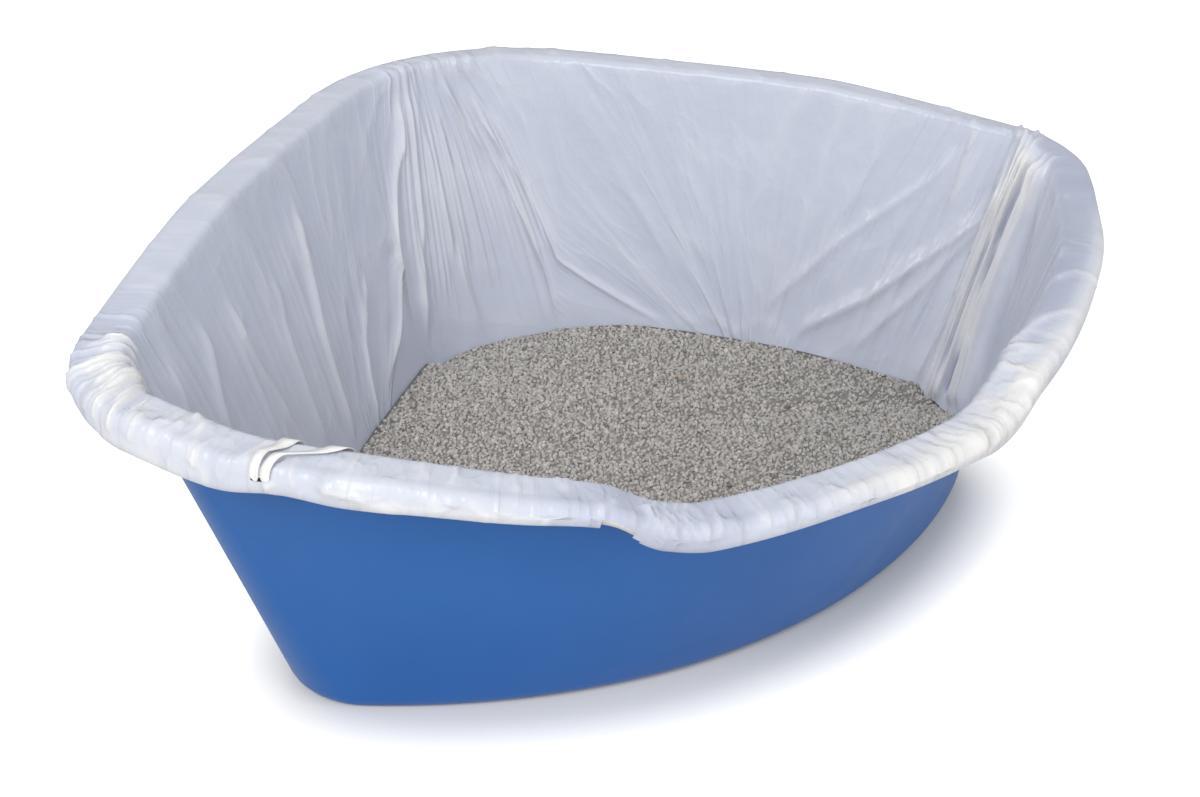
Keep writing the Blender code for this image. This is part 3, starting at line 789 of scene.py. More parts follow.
    def marked_folds(self) -> list[Fold]:
        """Return the folds that can be told apart in the photograph."""
        back_corner = [
            Fold(((6.76, 1.24), (6.90, 1.36), (7.04, 1.55), (7.28, 1.72), (7.50, 1.84), (7.56, 2.02)),
                 0.0042, 0.0034, 0.45),
            Fold(((7.22, 1.25), (7.52, 1.61), (7.66, 2.02)), 0.0030, 0.0028, 0.25),
            Fold(((8.05, 1.19), (7.82, 1.51), (7.72, 2.0)), 0.0022, 0.0026, 0.15),
            Fold(((9.02, 1.20), (8.50, 1.62), (7.98, 2.0)), 0.0030, 0.0018, 0.20),
            Fold(((9.33, 1.22), (9.10, 1.36), (8.74, 1.58), (8.12, 2.0)), 0.0024, 0.0017, 0.20),
            Fold(((9.30, 1.26), (9.42, 1.30), (9.52, 1.25)), 0.0012, 0.0018, 0.2),
            Fold(((9.46, 1.25), (9.56, 1.31), (9.66, 1.24)), 0.0010, 0.0018, 0.2),
        ]
        right_wall = [
            Fold(((9.64, 1.25), (9.82, 1.46), (10.04, 1.92)), 0.0044, 0.0034, 0.25),
            Fold(((9.55, 1.30), (9.66, 1.52), (9.90, 1.97)), 0.0018, 0.0030, 0.10),
            Fold(((9.80, 1.22), (9.92, 1.50), (10.06, 1.99)), 0.0022, 0.0028, 0.12),
        ]
        right_corner = [
            Fold(((10.14, 1.13), (10.16, 1.45), (10.22, 1.80), (10.30, 2.1), (10.34, 2.5)),
                 0.0090, 0.0036, 0.85, 0.06),
            Fold(((10.24, 1.14), (10.26, 1.45), (10.34, 1.80), (10.46, 2.1), (10.49, 2.5)),
                 0.0068, 0.0028, 0.75, 0.06),
            Fold(((10.42, 1.14), (10.42, 1.40), (10.50, 1.75), (10.66, 2.05), (10.69, 2.4)),
                 0.0082, 0.0030, 0.75, 0.06),
            Fold(((10.54, 1.15), (10.53, 1.40), (10.60, 1.70), (10.78, 2.0), (10.84, 2.6)),
                 0.0050, 0.0026, 0.40, 0.06),
            Fold(((9.98, 1.14), (10.02, 1.55), (10.08, 1.95)), 0.0044, 0.0036, 0.25),
            # The four grooves below are coloured dark: painted shade in the slits between the pleats
            Fold(((10.19, 1.22), (10.205, 1.50), (10.25, 1.76)), -0.0060, 0.0010, -1.3, 0.2),
            Fold(((10.39, 1.50), (10.46, 1.74), (10.56, 1.96)), -0.0060, 0.0012, -1.5, 0.25),
            Fold(((10.36, 1.66), (10.40, 1.78), (10.45, 1.92)), -0.0040, 0.0009, -1.1, 0.25),
            Fold(((10.31, 1.16), (10.32, 1.22), (10.35, 1.34)), -0.0050, 0.0018, -1.1, 0.25),
        ]
        left_wall = [
            Fold(((6.54, 1.22), (6.56, 1.48), (6.62, 1.75), (6.66, 1.90)), 0.0042, 0.0024, 0.40),
            Fold(((6.34, 1.28), (6.32, 1.53), (6.30, 1.71), (6.30, 1.86)), 0.0032, 0.0024, 0.30),
            Fold(((6.10, 1.26), (6.12, 1.60), (6.20, 1.90)), 0.0030, 0.0028, 0.22),
            Fold(((6.42, 1.30), (6.44, 1.60), (6.48, 1.80)), 0.0022, 0.0020, 0.20),
            Fold(((5.98, 1.35), (6.00, 1.60), (6.06, 1.90)), 0.0028, 0.0024, 0.22),
            Fold(((6.68, 1.20), (6.72, 1.40), (6.84, 1.60)), 0.0026, 0.0018, 0.30),
        ]
        return back_corner + right_wall + right_corner + left_wall + self.hem_folds()

    def hem_folds(self) -> list[Fold]:
        """Return the folds of the band over the rim that can be told apart in the photograph."""
        doubled = [
            Fold(((3.08, 5.4), (3.35, 4.6), (3.62, 4.5), (3.85, 5.0), (4.02, 5.6)),
                 0.0012, 0.0040, 1.10, 0.1),
            Fold(((3.62, 3.6), (3.82, 4.2), (4.00, 4.3), (4.12, 4.8)), 0.0011, 0.0028, 0.80, 0.2),
            Fold(((4.42, 5.9), (4.55, 5.9), (4.70, 6.0)), 0.0004, 0.0030, 0.50, 0.2),
            Fold(((4.86, 6.4), (5.00, 6.4), (5.20, 6.2)), 0.0006, 0.0040, 0.35, 0.2),
        ]
        crossing = [
            Fold(((5.36, 2.0), (5.26, 3.4), (5.16, 4.6)), 0.0020, 0.0014, 0.70),
            Fold(((5.30, 2.2), (5.20, 3.6), (5.12, 4.8)), 0.0014, 0.0012, 0.50),
            Fold(((5.04, 2.1), (5.00, 3.5), (4.96, 4.8)), 0.0010, 0.0010, 0.30),
            Fold(((4.93, 2.1), (4.90, 3.5), (4.885, 5.4)), 0.0016, 0.0014, 0.50),
            Fold(((4.905, 4.4), (4.875, 5.6), (4.88, 6.4)), 0.0012, 0.0012, 0.45),
            Fold(((4.36, 3.6), (4.385, 4.4), (4.385, 5.2)), 0.0010, 0.0012, 0.40),
            Fold(((3.72, 2.4), (3.70, 3.6), (3.74, 4.6)), 0.0012, 0.0014, 0.45),
            Fold(((3.60, 2.2), (3.50, 3.4), (3.46, 4.6)), 0.0020, 0.0020, 0.55),
            Fold(((3.40, 2.6), (3.36, 3.6), (3.38, 5.2)), 0.0016, 0.0018, 0.35),
        ]
        dip = [Fold(((place, 2.6), (place + 0.014, 3.5), (place + 0.002, 4.3), (place - 0.010, 5.6)),
                    0.0014, 0.0011, 0.30)
               for place in (4.252, 4.266, 4.281, 4.296, 4.312)]
        return doubled + crossing + dip

    def fans(self) -> list[Fan]:
        """Return the spreads of finer folds on the walls."""
        return [
            Fan((7.60, 8.16), (7.02, 9.33), 24, 0.0028, 0.0014, 0.30, (0.8, 1.0)),
            Fan((7.62, 8.10), (7.10, 9.20), 18, 0.0014, 0.0011, 0.15, (0.4, 0.9)),
            Fan((8.16, 9.40), (9.33, 9.52), 7, 0.0008, 0.0026, 0.05),
            Fan((9.50, 10.10), (9.56, 9.98), 10, 0.0014, 0.0026, 0.10, (0.5, 1.0)),
            Fan((10.05, 10.66), (10.05, 10.58), 7, 0.0026, 0.0020, 0.25),
            Fan((13.10, 14.00), (13.30, 14.00), 22, 0.0010, 0.0022, 0.08, (0.8, 1.0)),
            Fan((14.00, 14.72), (14.02, 14.64), 24, 0.0012, 0.0026, 0.10),
            Fan((14.72, 15.52), (14.66, 14.80), 12, 0.0008, 0.0036, 0.05),
        ]

    def pleats(self) -> list[Pleats]:
        """Return the stretches of short folds across the rim."""
        return [
            Pleats((5.08, 6.06), 90, 0.0015, 0.0007, (1.86, 1.95, 2.05), (3.6, 4.4, 5.4), 0.012, 0.30),
            Pleats((5.02, 5.60), 12, 0.0018, 0.0012, (2.0, 2.6), (4.6, 6.0), 0.03, 0.50),
            Pleats((4.42, 4.60), 12, 0.0014, 0.0009, (2.1, 2.6), (3.6, 4.2), 0.006, 0.3),
            Pleats((4.60, 4.72), 6, 0.0015, 0.0010, (2.4, 3.2), (3.9, 4.6), 0.010, 0.3),
            Pleats((4.22, 4.36), 12, 0.0014, 0.0009, (2.8, 3.4), (4.6, 5.6), -0.012, 0.3),
            Pleats((4.70, 5.02), 20, 0.0018, 0.0012, (2.4, 3.4), (4.8, 6.0), -0.03, 0.45),
            Pleats((4.40, 4.80), 12, 0.0014, 0.0016, (4.4, 5.0), (5.6, 6.4), 0.08, 0.40),
            Pleats((3.55, 4.20), 28, 0.0014, 0.0012, (2.0, 3.0, 3.6), (4.0, 4.8, 6.0), 0.03, 0.25),
            Pleats((3.62, 3.90), 10, 0.0014, 0.0010, (2.2, 3.0), (4.4, 5.4), 0.045, 0.50),
            Pleats((1.90, 2.40), 30, 0.0017, 0.0010, (1.7, 2.0, 2.6), (3.2, 4.0, 5.4), 0.04, 0.28),
            Pleats((2.40, 3.44), 14, 0.0012, 0.0010, (1.5, 1.8, 2.4), (2.6, 3.2, 4.4), 0.06, 0.28),
            Pleats((3.58, 3.70), 12, 0.0013, 0.0010, (1.6, 1.9, 2.4), (3.6, 4.4, 5.0), 0.05, 0.45),
            Pleats((6.10, 7.50), 14, 0.0007, 0.0026, (2.1, 3.0), (4.4, 6.0)),
            Pleats((7.50, 8.30), 26, 0.0010, 0.0011, (1.95, 2.3), (3.4, 4.6)),
            Pleats((8.30, 9.90), 16, 0.0008, 0.0022, (2.1, 3.0), (4.0, 5.4), 0.04),
        ]

    def folds(self) -> list[Fold]:
        """Return every fold of the film."""
        found = self.marked_folds()
        for fan in self.fans():
            found += self._fan_folds(fan)
        for pleats in self.pleats():
            found += self._pleat_folds(pleats)
        return found

    def _fan_folds(self, fan: Fan) -> list[Fold]:
        """Return the folds of a fan, at uneven spaces, heights and lengths."""
        found = []
        for k in range(fan.count):
            share = (k + 0.5 + self.random.uniform(-0.38, 0.38)) / fan.count
            rim = fan.rim[0] + (fan.rim[1] - fan.rim[0]) * share
            low = fan.low[0] + (fan.low[1] - fan.low[0]) * share
            start = self.random.uniform(0.0, 0.30)
            end = self.random.uniform(*fan.reach)
            path = tuple((low + (rim - low) * t, 1.2 + 0.82 * t) for t in (start, end))
            strength = self.random.uniform(0.35, 1.0)
            found.append(Fold(path, fan.height * strength, fan.width * self.random.uniform(0.7, 1.3),
                              fan.tone * strength, 0.25))
        return found

    def _pleat_folds(self, pleats: Pleats) -> list[Fold]:
        """Return the short folds of a stretch of the rim."""
        found = []
        for _ in range(pleats.count):
            place = self.random.uniform(*pleats.places)
            slant = pleats.slant * self.random.uniform(-0.4, 1.6)
            low, high = self.random.choice(pleats.low), self.random.choice(pleats.high)
            strength = self.random.uniform(0.35, 1.2)
            path = ((place, low), (place - 0.4 * slant, (low + high) / 2), (place - slant, high))
            found.append(Fold(path, pleats.height * strength, pleats.width * self.random.uniform(0.7, 1.5),
                              pleats.tone * strength, 0.3))
        return found

    def fold_fall(self, fold: Fold, grid: FilmGrid) -> tuple[np.ndarray, np.ndarray]:
        """Return which points a fold touches, and how much of its height each of them has.

        Args:
            fold: the fold.
            grid: the film's points.
        """
        knots = np.array([point[1] for point in fold.path])
        at = np.array([point[0] for point in fold.path])
        if (np.diff(knots) > 0).all() and len(knots) > 2:
            finer = np.linspace(knots[0], knots[-1], 4 * len(knots))
            at = SmoothTable(tuple((point[1], point[0]) for point in fold.path)).at(finer)
            knots = finer
        far = 7 * fold.width
        ups = self.reach(np.mod(at, PLACES), knots)
        middle = (at.min() + at.max()) / 2
        away = np.mod(grid.place - middle + PLACES / 2, PLACES) - PLACES / 2
        near = (np.abs(away) - (at.max() - at.min()) / 2) * grid.spacing < far
        near &= (grid.reach > ups.min() - far) & (grid.reach < ups.max() + far)
        if not near.any():
            return near, np.zeros(0)
        offset, spacing, up = away[near] + middle, grid.spacing[near], grid.reach[near]
        nearest = np.full(offset.shape, 1e9)
        along = np.zeros(offset.shape)
        steps = np.hypot(np.diff(at) * spacing.mean(), np.diff(ups))
        passed = np.concatenate([[0.0], np.cumsum(steps)])
        for k in range(len(at) - 1):
            ax, ay = (at[k] - offset) * spacing, ups[k] - up
            dx, dy = (at[k + 1] - at[k]) * spacing, ups[k + 1] - ups[k]
            t = np.clip(-(ax * dx + ay * dy) / np.maximum(dx * dx + dy * dy, 1e-12), 0.0, 1.0)
            distance = np.hypot(ax + t * dx, ay + t * dy)
            closer = distance < nearest
            nearest = np.where(closer, distance, nearest)
            along = np.where(closer, (passed[k] + t * steps[k]) / passed[-1], along)
        ends = smooth(along / fold.ends) * smooth((1 - along) / fold.ends)
        soft = 0.22 * fold.width
        return near, ends * np.exp(-(np.hypot(nearest, soft) - soft) / fold.width)

    def grid(self) -> tuple[FilmGrid, np.ndarray, np.ndarray, np.ndarray]:
        """Return the film's points, its rows' sections and plies, and each column's way round in metres."""
        rim_places, low_places = self.station_places()
        line = self.litter_section(low_places)
        row_sections, row_plies = self.rows()
        rise = np.clip(row_sections - 1, 0.0, 1.0)[:, None]
        place = low_places + (rim_places - low_places) * rise
        on_wall = (row_sections >= 1) & (row_sections < 2)
        section = np.repeat(np.maximum(row_sections, 0.0)[:, None], self.columns, 1)
        section[on_wall] = line + (Section.WALL_TOP - line) * rise[on_wall]
        round_the_rim = self.form.surface(rim_places, np.full_like(rim_places, 3.0))
        steps = np.linalg.norm(np.diff(round_the_rim, axis=0), axis=1)
        turned = np.concatenate([[0.0], np.cumsum(steps)])
        return (FilmGrid(place, section, self.form.spacing(place, section), self.reach(place, section)),
                row_sections, row_plies, turned)

    def build(self) -> bpy.types.Object:
        """Return the film as one dressed sheet."""
        grid, row_sections, row_plies, turned = self.grid()
        place = np.mod(grid.place, PLACES)
        faces_out = row_plies[:, None] < 2
        heights = np.zeros_like(grid.place)
        tones = np.zeros_like(grid.place)
        # Fold tones: lighter on doubled film, and under 0 painted shade in the slits
        for fold in self.folds():
            near, fall = self.fold_fall(fold, grid)
            heights[near] += fold.height * fall
            tones[near] += fold.tone * fall
        heights = np.maximum(np.where(faces_out, heights, 0.0), self.lowest)
        distance = np.full_like(grid.place, self.stand_off) + heights
        hem = smooth((grid.section - Section.LIP_END) / 0.9)
        hollow = np.sin(np.clip((grid.section - Section.LIP_END + 0.4) / 4.2, 0, 1) * math.pi)
        puff = self.puff * self.full.at(place)
        raised = (row_plies[:, None] == 1) | (grid.section > Section.LIP_END)
        distance += np.where(raised, hem * self.tunnel + hollow * puff, 0.0)
        distance = np.where(row_plies[:, None] == 2, self.stand_off, distance)
        points = self.form.stand_off(grid.place, grid.section, distance)
        floor = row_sections < 0
        points[floor] = points[np.argmax(~floor)][None] * np.array(self.floor_spread)
        faces = grid_faces(len(row_sections), self.columns)
        faces = faces[~self._in_notch(grid, row_sections, row_plies)]
        piece = mesh_piece("white_film_sheet", points.reshape(-1, 3), faces, self.finish.make())
        over = smooth((grid.section - 1.95) / 0.8)
        # The plies attribute holds the folds' tones and the rim's tones, much of it painted shade
        store(piece, "plies", np.clip(0.5 + 0.5 * (tones + self.rim_tone_with_painted_shade.at(place) * over), 0.0, 1.0))
        store(piece, "gather", self.gathered.at(place))
        store(piece, "band", over * self.crumpled.at(place))
        angle = turned / turned[-1] * 2 * math.pi
        radius = turned[-1] / (2 * math.pi)
        ring = np.broadcast_to(np.stack([radius * np.cos(angle), radius * np.sin(angle)], -1),
                               grid.place.shape + (2,))
        store(piece, "film_space", np.concatenate([ring, grid.reach[..., None]], -1))
        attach(piece, "root")
        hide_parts("liner_film")
        return piece

    def _in_notch(self, grid: FilmGrid, row_sections: np.ndarray, row_plies: np.ndarray) -> np.ndarray:
        """Return which faces of the grid lie in a notch of the hem's outer ply."""
        share = np.clip((row_sections[:-1] - Section.SKIRT_TOP) / self.notch_rise, 0.0, 1.0)[:, None]
        hidden = np.zeros((len(row_sections) - 1, self.columns), bool)
        for notch in self.notches:
            open_rows = (row_plies[:-1] == 1) & (row_sections[:-1] >= Section.SKIRT_TOP)
            open_rows &= row_sections[:-1] < notch.low
            behind = np.mod(notch.place - grid.place[:-1] + PLACES / 2, PLACES) - PLACES / 2
            away = behind * grid.spacing[:-1]
            width = notch.top_width + (notch.width - notch.top_width) * share
            hidden |= (away > 0) & (away < width) & open_rows[:, None]
        return hidden.ravel()


@dataclass
class Tape:
    """The drawstring tape, flat in the hem and pulled out over the rim at the left notch."""

    form: PanForm
    film: Film
    finish: TapeFinish = TapeFinish()
    notch: float = 4.80
    width: float = 0.0044
    flare: float = 1.1
    turn: float = 0.0027
    shifts: tuple[float, float] = (-0.0057, -0.0320)
    depth: float = 0.012
    over_hem: float = 0.0050
    low_section: float = 6.6
    ring_steps: int = 700
    thickness: float = 0.0003
    corner_steps: int = 8
    arm_steps: int = 24
    lie: float = 0.3

    def route(self, middle: float) -> list[tuple[float, float, float, float, tuple[float, float]]]:
        """Return the loop's middle line laid flat: shift, reach, distance, half width and direction.

        Args:
            middle: the reach of the tape in the hem.
        """
        flat = self.film.stand_off + self.film.ply
        lift = self.over_hem - flat
        half = self.width / 2
        arms = []
        for side, target in zip((1, -1), self.shifts):
            arm = []
            for k in range(self.corner_steps + 1):
                angle = math.pi / 2 * k / self.corner_steps
                arm.append((side * self.turn * (2 - math.sin(angle)),
                            middle - self.turn * (1 - math.cos(angle)),
                            flat + lift * min(1.0, 2 * k / self.corner_steps), half,
                            (-math.cos(angle), -side * math.sin(angle))))
            for k in range(1, self.arm_steps + 1):
                share = k / self.arm_steps
                ease = float(smooth(np.array(share)))
                arm.append((side * self.turn * (1 - ease) + target * ease, (middle - self.turn) * (1 - share),
                            flat + lift * min(max(1.5 - 2 * share, self.lie), 1.0),
                            half * (1 + self.flare * ease), (0.0, -side)))
            arms.append(arm)
        radius = (self.shifts[0] - self.shifts[1]) / 2
        centre = (self.shifts[0] + self.shifts[1]) / 2
        bight = []
        for k in range(self.arm_steps + 1):
            angle = math.pi * k / self.arm_steps
            bight.append((centre + radius * math.cos(angle), -self.depth - radius * math.sin(angle),
                          flat + self.lie * lift, half * (1 + self.flare),
                          (-math.sin(angle), -math.cos(angle))))
        return arms[0] + bight + arms[1][::-1]

    def build(self) -> bpy.types.Object:
        """Return the tape as one closed band, three points wide."""
        sections = np.arange(Section.WALL_FOOT, Section.CURL_END, 0.05)
        reach = self.film.reach(np.full_like(sections, self.notch), sections)
        middle = float(np.interp(Section.SKIRT_TOP, sections, reach)) + self.width / 2
        spacing = float(self.form.spacing(np.array([self.notch]), np.array([float(Section.SKIRT_TOP)]))[0])
        ways = (1, 0, -1)
        stations = []
        for shift, out, distance, half, ahead in self.route(middle):
            stations.append([(self.notch + (shift - way * half * ahead[1]) / spacing,
                              float(np.interp(out + way * half * ahead[0], reach, sections)), distance)
                             for way in ways])
        window = 2.5 * self.turn / spacing
        flat = self.film.stand_off + self.film.ply
        for k in range(self.ring_steps + 1):
            place = self.notch - window - (PLACES - 2 * window) * k / self.ring_steps
            stations.append([(place, section, flat) for section in (5.0, 6.0, self.low_section)])
        values = np.array(stations)
        rows = []
        for edge, rise in ((0, 0.0), (1, 0.0), (2, 0.0), (2, 1.0), (1, 1.0), (0, 1.0), (0, 0.0)):
            rows.append(self.form.stand_off(values[:, edge, 0], values[:, edge, 1],
                                            values[:, edge, 2] + rise * self.thickness))
        points = np.array(rows)
        piece = mesh_piece("white_tape", points.reshape(-1, 3), grid_faces(len(rows), len(stations)),
                           self.finish.make())
        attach(piece, "root")
        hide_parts("drawstring")
        return piece


@dataclass
class Litter:
    """The litter: a heap, coloured dark as painted shade between the granules, and the granules that cover
    it.
    """

    form: PanForm
    film: Film
    finish: GranuleFinish = GranuleFinish()
    crown: float = 0.010
    middle_y: float = 0.010
    spacing: float = 0.0029
    smallest: float = 0.0010
    largest: float = 0.0022
    piece_count: int = 4
    seed: int = 11
    edge_points: int = 360
    clearance: float = 0.0008
    sunk: float = 0.0006
    wave_height: float = 0.0016
    # Dark tone of the heap: painted shade in the gaps between the granules
    heap_painted_shade_tone: float = 0.12
    jitter: float = 0.42
    loose_share: float = 0.33
    loose_lift: float = 0.0009
    margin: float = 0.0022
    tan_share: float = 0.006

    def __post_init__(self) -> None:
        """Work out the edge of the heap."""
        self.random = np.random.default_rng(self.seed)
        self.places = np.linspace(0, PLACES, self.edge_points + 1)[:-1]
        self.edge = self._ring(self.film.litter_section(self.places))
        self.middle = np.array([0.0, self.middle_y])
        self.angles = np.arctan2(self.edge[:, 1] - self.middle[1], self.edge[:, 0] - self.middle[0])
        self.order = np.argsort(self.angles)
        self.level = float(self.edge[:, 2].mean())
        around = np.concatenate([self.edge[self.order, 2]] * 3)
        window = np.hanning(61) / np.hanning(61).sum()
        count = len(self.edge)
        self.even_edge = np.convolve(around, window, "same")[count:2 * count]

    def _ring(self, section: np.ndarray) -> np.ndarray:
        """Return points all round the pan, just off the film, at a section for each place."""
        return self.form.stand_off(self.places, section,
                                   np.full_like(self.places, self.film.stand_off + self.clearance))

    def top(self, spots: np.ndarray) -> tuple[np.ndarray, np.ndarray]:
        """Return the heap's height at plan points, and each point's share of the way out to the edge."""
        away = spots - self.middle
        angle = np.arctan2(away[:, 1], away[:, 0])
        keys = self.angles[self.order]
        radius = np.linalg.norm(self.edge[:, :2] - self.middle, axis=1)[self.order]
        reach = np.interp(angle, keys, radius, period=2 * math.pi)
        exact = np.interp(angle, keys, self.edge[self.order, 2], period=2 * math.pi)
        even = np.interp(angle, keys, self.even_edge, period=2 * math.pi)
        share = np.linalg.norm(away, axis=1) / reach
        clipped = np.minimum(share, 1.0)
        height = even + (exact - even) * clipped ** 8
        level = height * clipped + self.level * (1 - clipped) + self.crown * (1 - clipped ** 2)
        waves = self.wave_height * np.sin(spots[:, 0] * 41 + 1.3) * np.sin(spots[:, 1] * 37 + 0.4)
        return level + waves * (1 - clipped ** 4), share

    def build_heap(self) -> bpy.types.Object:
        """Return the solid heap under the granules."""
        shares = np.linspace(0.0, 1.0, 26)
        rows = []
        for share in shares:
            spots = self.middle + (self.edge[:, :2] - self.middle) * share
            height, _ = self.top(spots)
            rows.append(np.column_stack([spots, height - self.sunk]))
        rows += [self._ring(np.full_like(self.places, section)) for section in (1.0, 0.5, 0.0)]
        last = rows[-1].copy()
        last[:, :2] *= 0.0
        rows.append(last)
        points = np.array(rows)
        piece = mesh_piece("litter_heap", points.reshape(-1, 3), grid_faces(len(rows), points.shape[1]),
                           self.finish.make())
        # The heap's dark tone is painted shade between the granules
        store(piece, "tone", np.full(len(piece.data.vertices), self.heap_painted_shade_tone))
        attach(piece, "root")
        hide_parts("litter_bed")
        return piece

    @staticmethod
    def _stone() -> tuple[np.ndarray, np.ndarray]:
        """Return the vertices and faces of a regular solid of 20 sides."""
        golden = (1 + math.sqrt(5)) / 2
        corners = [(0, a, b * golden) for a in (1, -1) for b in (1, -1)]
        corners += [(a, b * golden, 0) for a in (1, -1) for b in (1, -1)]
        corners += [(b * golden, 0, a) for a in (1, -1) for b in (1, -1)]
        points = np.array(corners) / math.hypot(1, golden)
        apart = np.linalg.norm(points[:, None] - points[None], axis=-1)
        side = apart[apart > 0].min() * 1.01
        faces = []
        for i in range(12):
            for j in range(i + 1, 12):
                for k in range(j + 1, 12):
                    if max(apart[i, j], apart[j, k], apart[i, k]) < side:
                        out = np.dot(np.cross(points[j] - points[i], points[k] - points[i]), points[i])
                        faces.append((i, j, k) if out > 0 else (i, k, j))
        return points, np.array(faces)

    def spots(self) -> np.ndarray:
        """Return the plan points of the granules, on a jittered grid inside the heap's edge."""
        low, high = self.edge[:, :2].min(0), self.edge[:, :2].max(0)
        x = np.arange(low[0], high[0], self.spacing)
        y = np.arange(low[1], high[1], self.spacing * 0.87)
        grid_x, grid_y = np.meshgrid(x, y)
        grid_x[1::2] += self.spacing / 2
        found = np.column_stack([grid_x.ravel(), grid_y.ravel()])
        found += self.random.uniform(-self.jitter, self.jitter, found.shape) * self.spacing
        return found

    def build_granules(self) -> list[bpy.types.Object]:
        """Return the granules in a few pieces: a close layer, and loose ones on it."""
        close = self.spots()
        scattered = self.spots()
        chance = self.random.random(len(self.spots()))
        loose = scattered[chance < self.loose_share] + self.spacing / 3
        spots = np.concatenate([close, loose])
        lift = np.concatenate([np.zeros(len(close)), np.full(len(loose), self.loose_lift)])
        height, share = self.top(spots)
        keep = share < 1 - self.margin / np.maximum(np.linalg.norm(spots - self.middle, axis=1), 0.01)
        spots, height, lift = spots[keep], height[keep], lift[keep]
        count = len(spots)
        size = self.smallest + (self.largest - self.smallest) * self.random.beta(1.7, 2.6, count)
        height = height + lift - 0.3 * size + self.random.uniform(-0.0004, 0.0005, count)
        stone, faces = self._stone()
        shapes = stone * self.random.uniform(0.72, 1.25, (count, len(stone), 1))
        shapes = shapes * self.random.uniform(0.65, 1.15, (count, 1, 3)) * size[:, None, None]
        axes = self.random.normal(size=(count, 4))
        w, x, y, z = (axes / np.linalg.norm(axes, axis=1, keepdims=True)).T
        turn = np.array([[1 - 2 * (y * y + z * z), 2 * (x * y - z * w), 2 * (x * z + y * w)],
                         [2 * (x * y + z * w), 1 - 2 * (x * x + z * z), 2 * (y * z - x * w)],
                         [2 * (x * z - y * w), 2 * (y * z + x * w), 1 - 2 * (x * x + y * y)]])
        points = np.einsum("ijn,nkj->nki", turn, shapes) + np.column_stack([spots, height])[:, None]
        tones = np.clip(self.random.normal(0.55, 0.2, count), 0.05, 0.92)
        tones[self.random.random(count) < self.tan_share] = 1.0
        pieces = []
        finish = self.finish.make()
        for k, part in enumerate(np.array_split(np.arange(count), self.piece_count)):
            base = (np.arange(len(part)) * len(stone))[:, None, None]
            piece = mesh_piece(f"litter_granules_{k + 1}", points[part].reshape(-1, 3),
                               (faces[None] + base).reshape(-1, 3), finish)
            piece.data.polygons.foreach_set("use_smooth", np.zeros(len(piece.data.polygons), bool))
            store(piece, "tone", np.repeat(tones[part], len(stone)))
            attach(piece, "root")
            pieces.append(piece)
        return pieces


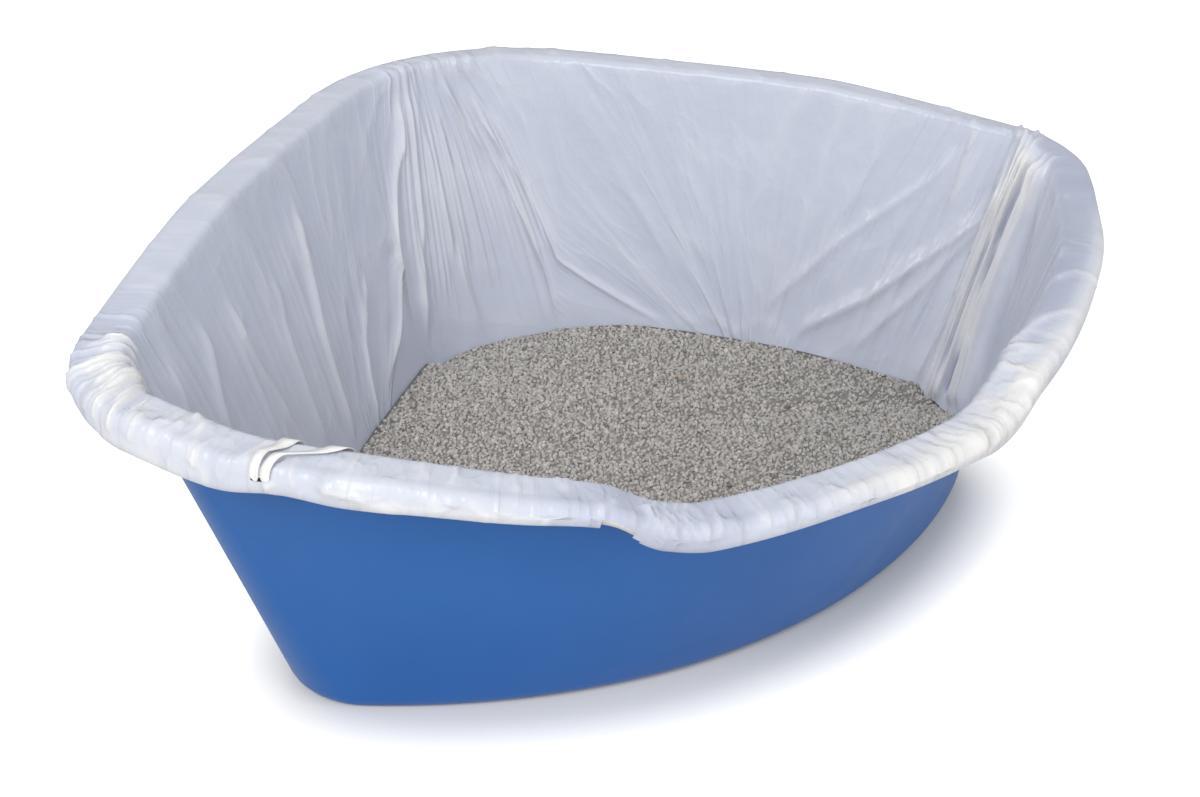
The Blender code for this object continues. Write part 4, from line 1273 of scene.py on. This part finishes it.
@dataclass
class Studio:
    """The white floor, the lights and the camera at the photograph's viewpoint."""

    azimuth: float = -0.5447
    elevation: float = 0.4943
    distance: float = 1.0067
    target: tuple[float, float, float] = (0.0049, 0.0124, 0.0825)
    lens: float = 46.48
    floor_size: float = 30.0
    floor_glow: float = 0.56
    floor_colour: Colour = (0.90, 0.872, 0.82)
    floor_level: float = -0.0002
    # Reach and ramp of the painted contact shadow, read from ambient occlusion
    shadow_reach: float = 0.058
    shadow_ramp: tuple[float, float] = (0.47, 0.88)
    fill_strength: float = 0.66

    def camera(self) -> bpy.types.Object:
        """Return the camera, made the scene's own."""
        back = Vector((math.sin(self.azimuth) * math.cos(self.elevation),
                       -math.cos(self.azimuth) * math.cos(self.elevation), math.sin(self.elevation)))
        data = bpy.data.cameras.new("camera")
        data.lens = self.lens
        data.sensor_width = 36.0
        data.clip_start = 0.02
        data.clip_end = 100.0
        camera = bpy.data.objects.new("camera", data)
        camera.location = Vector(self.target) + back * self.distance
        camera.rotation_euler = back.to_track_quat("Z", "Y").to_euler()
        bpy.context.scene.collection.objects.link(camera)
        bpy.context.scene.camera = camera
        return camera

    def floor(self) -> bpy.types.Object:
        """Return the pale floor: it glows white to the camera, except close round the pan, where the glow
        fades out as a painted contact shadow.
        """
        half = self.floor_size / 2
        points = np.array([(-half, -half, 0), (half, -half, 0), (half, half, 0), (-half, half, 0)], float)
        points[:, 2] = self.floor_level
        nodes = NodeBuilder("pale_floor")
        nodes.put(Base_Color=(*self.floor_colour, 1.0), Roughness=0.9, Specular_IOR_Level=0.05,
                  Emission_Color=(1.0, 1.0, 1.0, 1.0))
        path = nodes.tree.nodes.new("ShaderNodeLightPath")
        painted_shadow_occlusion = nodes.tree.nodes.new("ShaderNodeAmbientOcclusion")
        painted_shadow_occlusion.inputs["Distance"].default_value = self.shadow_reach
        dark, bright = self.shadow_ramp
        # The glow fades out where the pan occludes the floor: a painted contact shadow
        clear = nodes.ramp(painted_shadow_occlusion.outputs["AO"], ((dark, (0.0, 0.0, 0.0)), (bright, (1.0, 1.0, 1.0))))
        nodes.link(nodes.times(nodes.span(path.outputs["Is Camera Ray"], 0.0, self.floor_glow), clear),
                   nodes.shader.inputs["Emission Strength"])
        piece = mesh_piece("floor", points, np.array([[0, 1, 2, 3]]), nodes.material)
        return piece

    def light(self, name: str, place: tuple[float, float, float], size: float,
              power: float) -> bpy.types.Object:
        """Return a square soft light that faces the middle of the object.

        Args:
            name: its name.
            place: where it stands.
            size: the length of its side.
            power: its power in watts.
        """
        data = bpy.data.lights.new(name, "AREA")
        data.shape = "SQUARE"
        data.size = size
        data.energy = power
        lamp = bpy.data.objects.new(name, data)
        lamp.location = place
        lamp.rotation_euler = (Vector(place) - Vector(self.target)).to_track_quat("Z", "Y").to_euler()
        bpy.context.scene.collection.objects.link(lamp)
        return lamp

    def world(self) -> None:
        """Make the world a plain soft light, white to the camera."""
        world = bpy.data.worlds.new("studio")
        world.use_nodes = True
        tree = world.node_tree
        tree.nodes.clear()
        fill = tree.nodes.new("ShaderNodeBackground")
        fill.inputs["Color"].default_value = (0.98, 0.99, 1.0, 1.0)
        fill.inputs["Strength"].default_value = self.fill_strength
        white = tree.nodes.new("ShaderNodeBackground")
        white.inputs["Color"].default_value = (1.0, 1.0, 1.0, 1.0)
        path = tree.nodes.new("ShaderNodeLightPath")
        mix = tree.nodes.new("ShaderNodeMixShader")
        output = tree.nodes.new("ShaderNodeOutputWorld")
        tree.links.new(path.outputs["Is Camera Ray"], mix.inputs["Fac"])
        tree.links.new(fill.outputs["Background"], mix.inputs[1])
        tree.links.new(white.outputs["Background"], mix.inputs[2])
        tree.links.new(mix.outputs["Shader"], output.inputs["Surface"])
        bpy.context.scene.world = world

    def build(self) -> None:
        """Set up the view, the camera, the floor, the world and the lights."""
        bpy.context.scene.view_settings.view_transform = "Standard"
        self.camera()
        self.floor()
        self.world()
        self.light("key", (-1.5, -1.1, 1.7), 0.9, 24.5)
        self.light("front_fill", (0.2, -2.4, 1.0), 1.6, 12.0)


def main() -> None:
    """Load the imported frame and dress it."""
    logging.basicConfig(level=logging.INFO, format="%(name)s: %(message)s")
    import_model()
    Studio().build()
    form = PanForm(skirts=HEM_DEPTHS)
    film = Film(form)
    litter = Litter(form, film)
    pieces = [Pan(PanForm()).build(), film.build(), Tape(form, film).build(), litter.build_heap()]
    pieces += litter.build_granules()
    for piece in pieces:
        LOG.info("%s: %d vertices, %d faces", piece.name, len(piece.data.vertices), len(piece.data.polygons))


if __name__ == "__main__":
    main()
